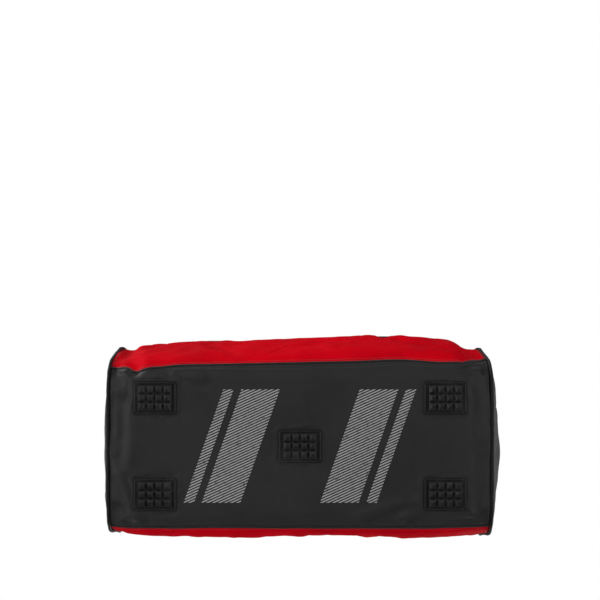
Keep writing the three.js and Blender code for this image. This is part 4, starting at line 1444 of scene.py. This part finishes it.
# ---- tabs ----
def zip_end_tab(word):
    """A folded scrap of webbing over the end of the top zip."""
    node = "zip_end_tab_" + word
    low, high = box_mm(node)
    xs = np.linspace(low[0], high[0], 18)[:, None]
    ys = np.linspace(low[1] - 2, high[1], 14)[None]
    xy = np.stack([xs + 0 * ys, ys + 0 * xs], -1)
    t = (ys - ys.min()) / np.ptp(ys)
    rise = 2.5 + 0.8 * np.exp(-((t / 0.25) ** 2)) + 0.25 * ripple(flat(xy), 9, 61)
    made = sheet(f"zip_end_webbing_{word}", on_top(xy, rise), 2.0, [WEBBING], outward=UP)
    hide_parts(node)
    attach(made, "bag")
    inset = 2.6
    left, right, front, back = low[0] + inset, high[0] - inset, low[1] + 1, high[1] - inset
    box = [(left, front), (right, front), (right, back), (left, back)]
    lines = []
    for a, b in zip(box, box[1:] + box[:1]):
        row = np.linspace(a, b, 12)
        lines.append((on_top(row, 2.9), top_normal(row)))
    stitches(f"zip_end_stitching_{word}", lines, BLACK_THREAD, "bag")


zip_end_tab("left")
zip_end_tab("right")


def ring_tab(word, side):
    """Webbing doubled round a ring's bar and sewn to the end panel with a box and cross."""
    node = word + "_ring_tab"
    top = box_mm(node)[1][2]
    wire_radius = 2.0
    bar_x = abs(joint_mm(word + "_ring_hinge")[0])
    bar_z = box_mm(word + "_d_ring")[1][2] - wire_radius
    radius = 3.5

    def dome_x(z):
        share = (z - WAIST) / (END["above"] if z > WAIST else END["below"])
        return HALF_LENGTH + END_OUTSET + CAD_BULGE * (1 - abs(share) ** BULGE_POWER)

    down = [(dome_x(z) + 1.4, z) for z in (top, top - 10, top - 18)]
    wrap = [
        (bar_x + radius * math.cos(a), bar_z + radius * math.sin(a))
        for a in np.radians((-170, -125, -80, -35, 10, 50, 88))
    ]
    back_up = [(dome_x(z) + 3.7, z) for z in (top - 18, top - 10, top - 1)]
    path = smooth_path([(side * x, 0, z) for x, z in down + wrap + back_up], 120)
    across = np.tile([0, 1.0, 0], (len(path), 1))
    depth = unit(np.cross(tangents(path), across))
    made = sweep(word + "_ring_webbing", path, across, depth, strap_outline(27, 1.7, 8), [WEBBING])
    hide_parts(node)
    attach(made, "bag")

    def at(z, y):
        """Places on the face of the doubled webbing."""
        x = np.array([side * (dome_x(v) + 4.75) for v in z])
        normal = np.tile([side * 1.0, 0, 0.25], (len(z), 1))
        return np.stack([x, y, z], 1), unit(normal)

    z, y = np.linspace(top - 17, top - 3, 12), np.linspace(-10.5, 10.5, 12)
    lines = [at(z, 0 * z + y[0]), at(z, 0 * z + y[-1]), at(0 * y + z[0], y), at(0 * y + z[-1], y)]
    lines += [at(z, y), at(z, -y)]
    stitches(word + "_ring_stitching", lines, BLACK_THREAD, "bag")


ring_tab("left", -1)
ring_tab("right", 1)


# ---- CAD pieces kept as they are ----
def finish_node(node, material):
    """Gives a CAD piece its material and smooth shading. Its shape stays the CAD's."""
    mesh = frame["nodes"][node].data
    mesh.materials.clear()
    mesh.materials.append(material.material)
    mesh.shade_smooth()
    mesh.set_sharp_from_angle(angle=math.radians(28))


KEPT = {
    "base_board": BOARD,
    "lid_slider_left": GUNMETAL, "lid_slider_right": GUNMETAL, "pocket_slider": GUNMETAL,
    "lid_pull_left": GUNMETAL, "lid_pull_right": GUNMETAL, "pocket_pull": GUNMETAL,
    "left_d_ring": RING_METAL, "right_d_ring": RING_METAL,
}
for node, material in KEPT.items():
    finish_node(node, material)


# ---- studio ----
def floor():
    """A pale floor seen only from above, fading into the white round it. From below it is clear."""
    mesh = bpy.data.meshes.new("floor")
    r = 9.0
    mesh.from_pydata([(-r, -r, 0), (r, -r, 0), (r, r, 0), (-r, r, 0)], [], [(0, 1, 2, 3)])
    made = bpy.data.objects.new("floor", mesh)
    bpy.context.scene.collection.objects.link(made)
    m = Nodes("floor_paper", (0.5, 0.5, 0.5), 0.7)
    grain = m.noise(40, 4)
    m.link("Base Color", m.colour_mix(grain, (0.50, 0.50, 0.50), (0.53, 0.53, 0.53)))
    m.link("Roughness", m.spread(grain, 0.3, 0.7, 0.65, 0.8))
    m.set("Emission Color", (1, 1, 1, 1))
    m.set("Emission Strength", 0.5)
    m.set("Specular IOR Level", 0.1)
    back = m.add("NewGeometry").outputs["Backfacing"]
    reach = m.add("VectorMath", {0: m.place}, operation="LENGTH").outputs["Value"]
    gone = m.math("MAXIMUM", back, m.spread(reach, 1.0, 4.5))
    clear = m.add("BsdfTransparent").outputs[0]
    both = m.add("MixShader", {0: gone, 1: m.shader.outputs[0], 2: clear})
    m.tree.links.new(both.outputs[0], m.tree.nodes["Material Output"].inputs["Surface"])
    mesh.materials.append(m.material)
    made.visible_shadow = False
    made.visible_diffuse = False
    made.visible_glossy = False


def world():
    """White to the eye, and a dimmer even light to the bag."""
    w = bpy.data.worlds.new("studio")
    w.use_nodes = True
    bpy.context.scene.world = w
    nodes, links = w.node_tree.nodes, w.node_tree.links
    path = nodes.new("ShaderNodeLightPath")
    strength = nodes.new("ShaderNodeMix")
    strength.inputs[2].default_value = 0.24
    strength.inputs[3].default_value = 1.0
    links.new(path.outputs["Is Camera Ray"], strength.inputs[0])
    background = nodes["Background"]
    background.inputs["Color"].default_value = (1, 1, 1, 1)
    links.new(strength.outputs[0], background.inputs["Strength"])


def soft_light(name, place, aim, size, power):
    """A rectangular lamp, unseen by the camera, turned towards a point."""
    data = bpy.data.lights.new(name, "AREA")
    data.shape = "RECTANGLE"
    data.size, data.size_y = size
    data.energy = power
    light = bpy.data.objects.new(name, data)
    light.location = place
    light.rotation_euler = (Vector(aim) - Vector(place)).to_track_quat("-Z", "Y").to_euler()
    light.visible_camera = False
    bpy.context.scene.collection.objects.link(light)


floor()
world()
middle = (0, 0, 0.15)
soft_light("below_right", (1.9, 0.5, -1.0), (0, 0, 0.05), (1.0, 1.6), 34)
soft_light("below_left", (-1.9, 0.4, -1.1), (0, 0, 0.05), (1.0, 1.6), 21)
soft_light("below_back", (0, 2.0, -0.9), (0, 0, 0.1), (2.4, 0.9), 15)
soft_light("below_front", (0, -2.0, -0.9), (0, 0, 0.1), (2.4, 0.9), 11)
soft_light("above_front", (-1.5, -1.5, 1.5), middle, (1.0, 0.8), 34)
soft_light("above_back", (1.5, 1.5, 1.4), middle, (1.0, 0.8), 28)
soft_light("above_side", (1.6, -1.2, 1.3), middle, (1.4, 1.2), 9)
scene = bpy.context.scene
scene.view_settings.view_transform = "Standard"
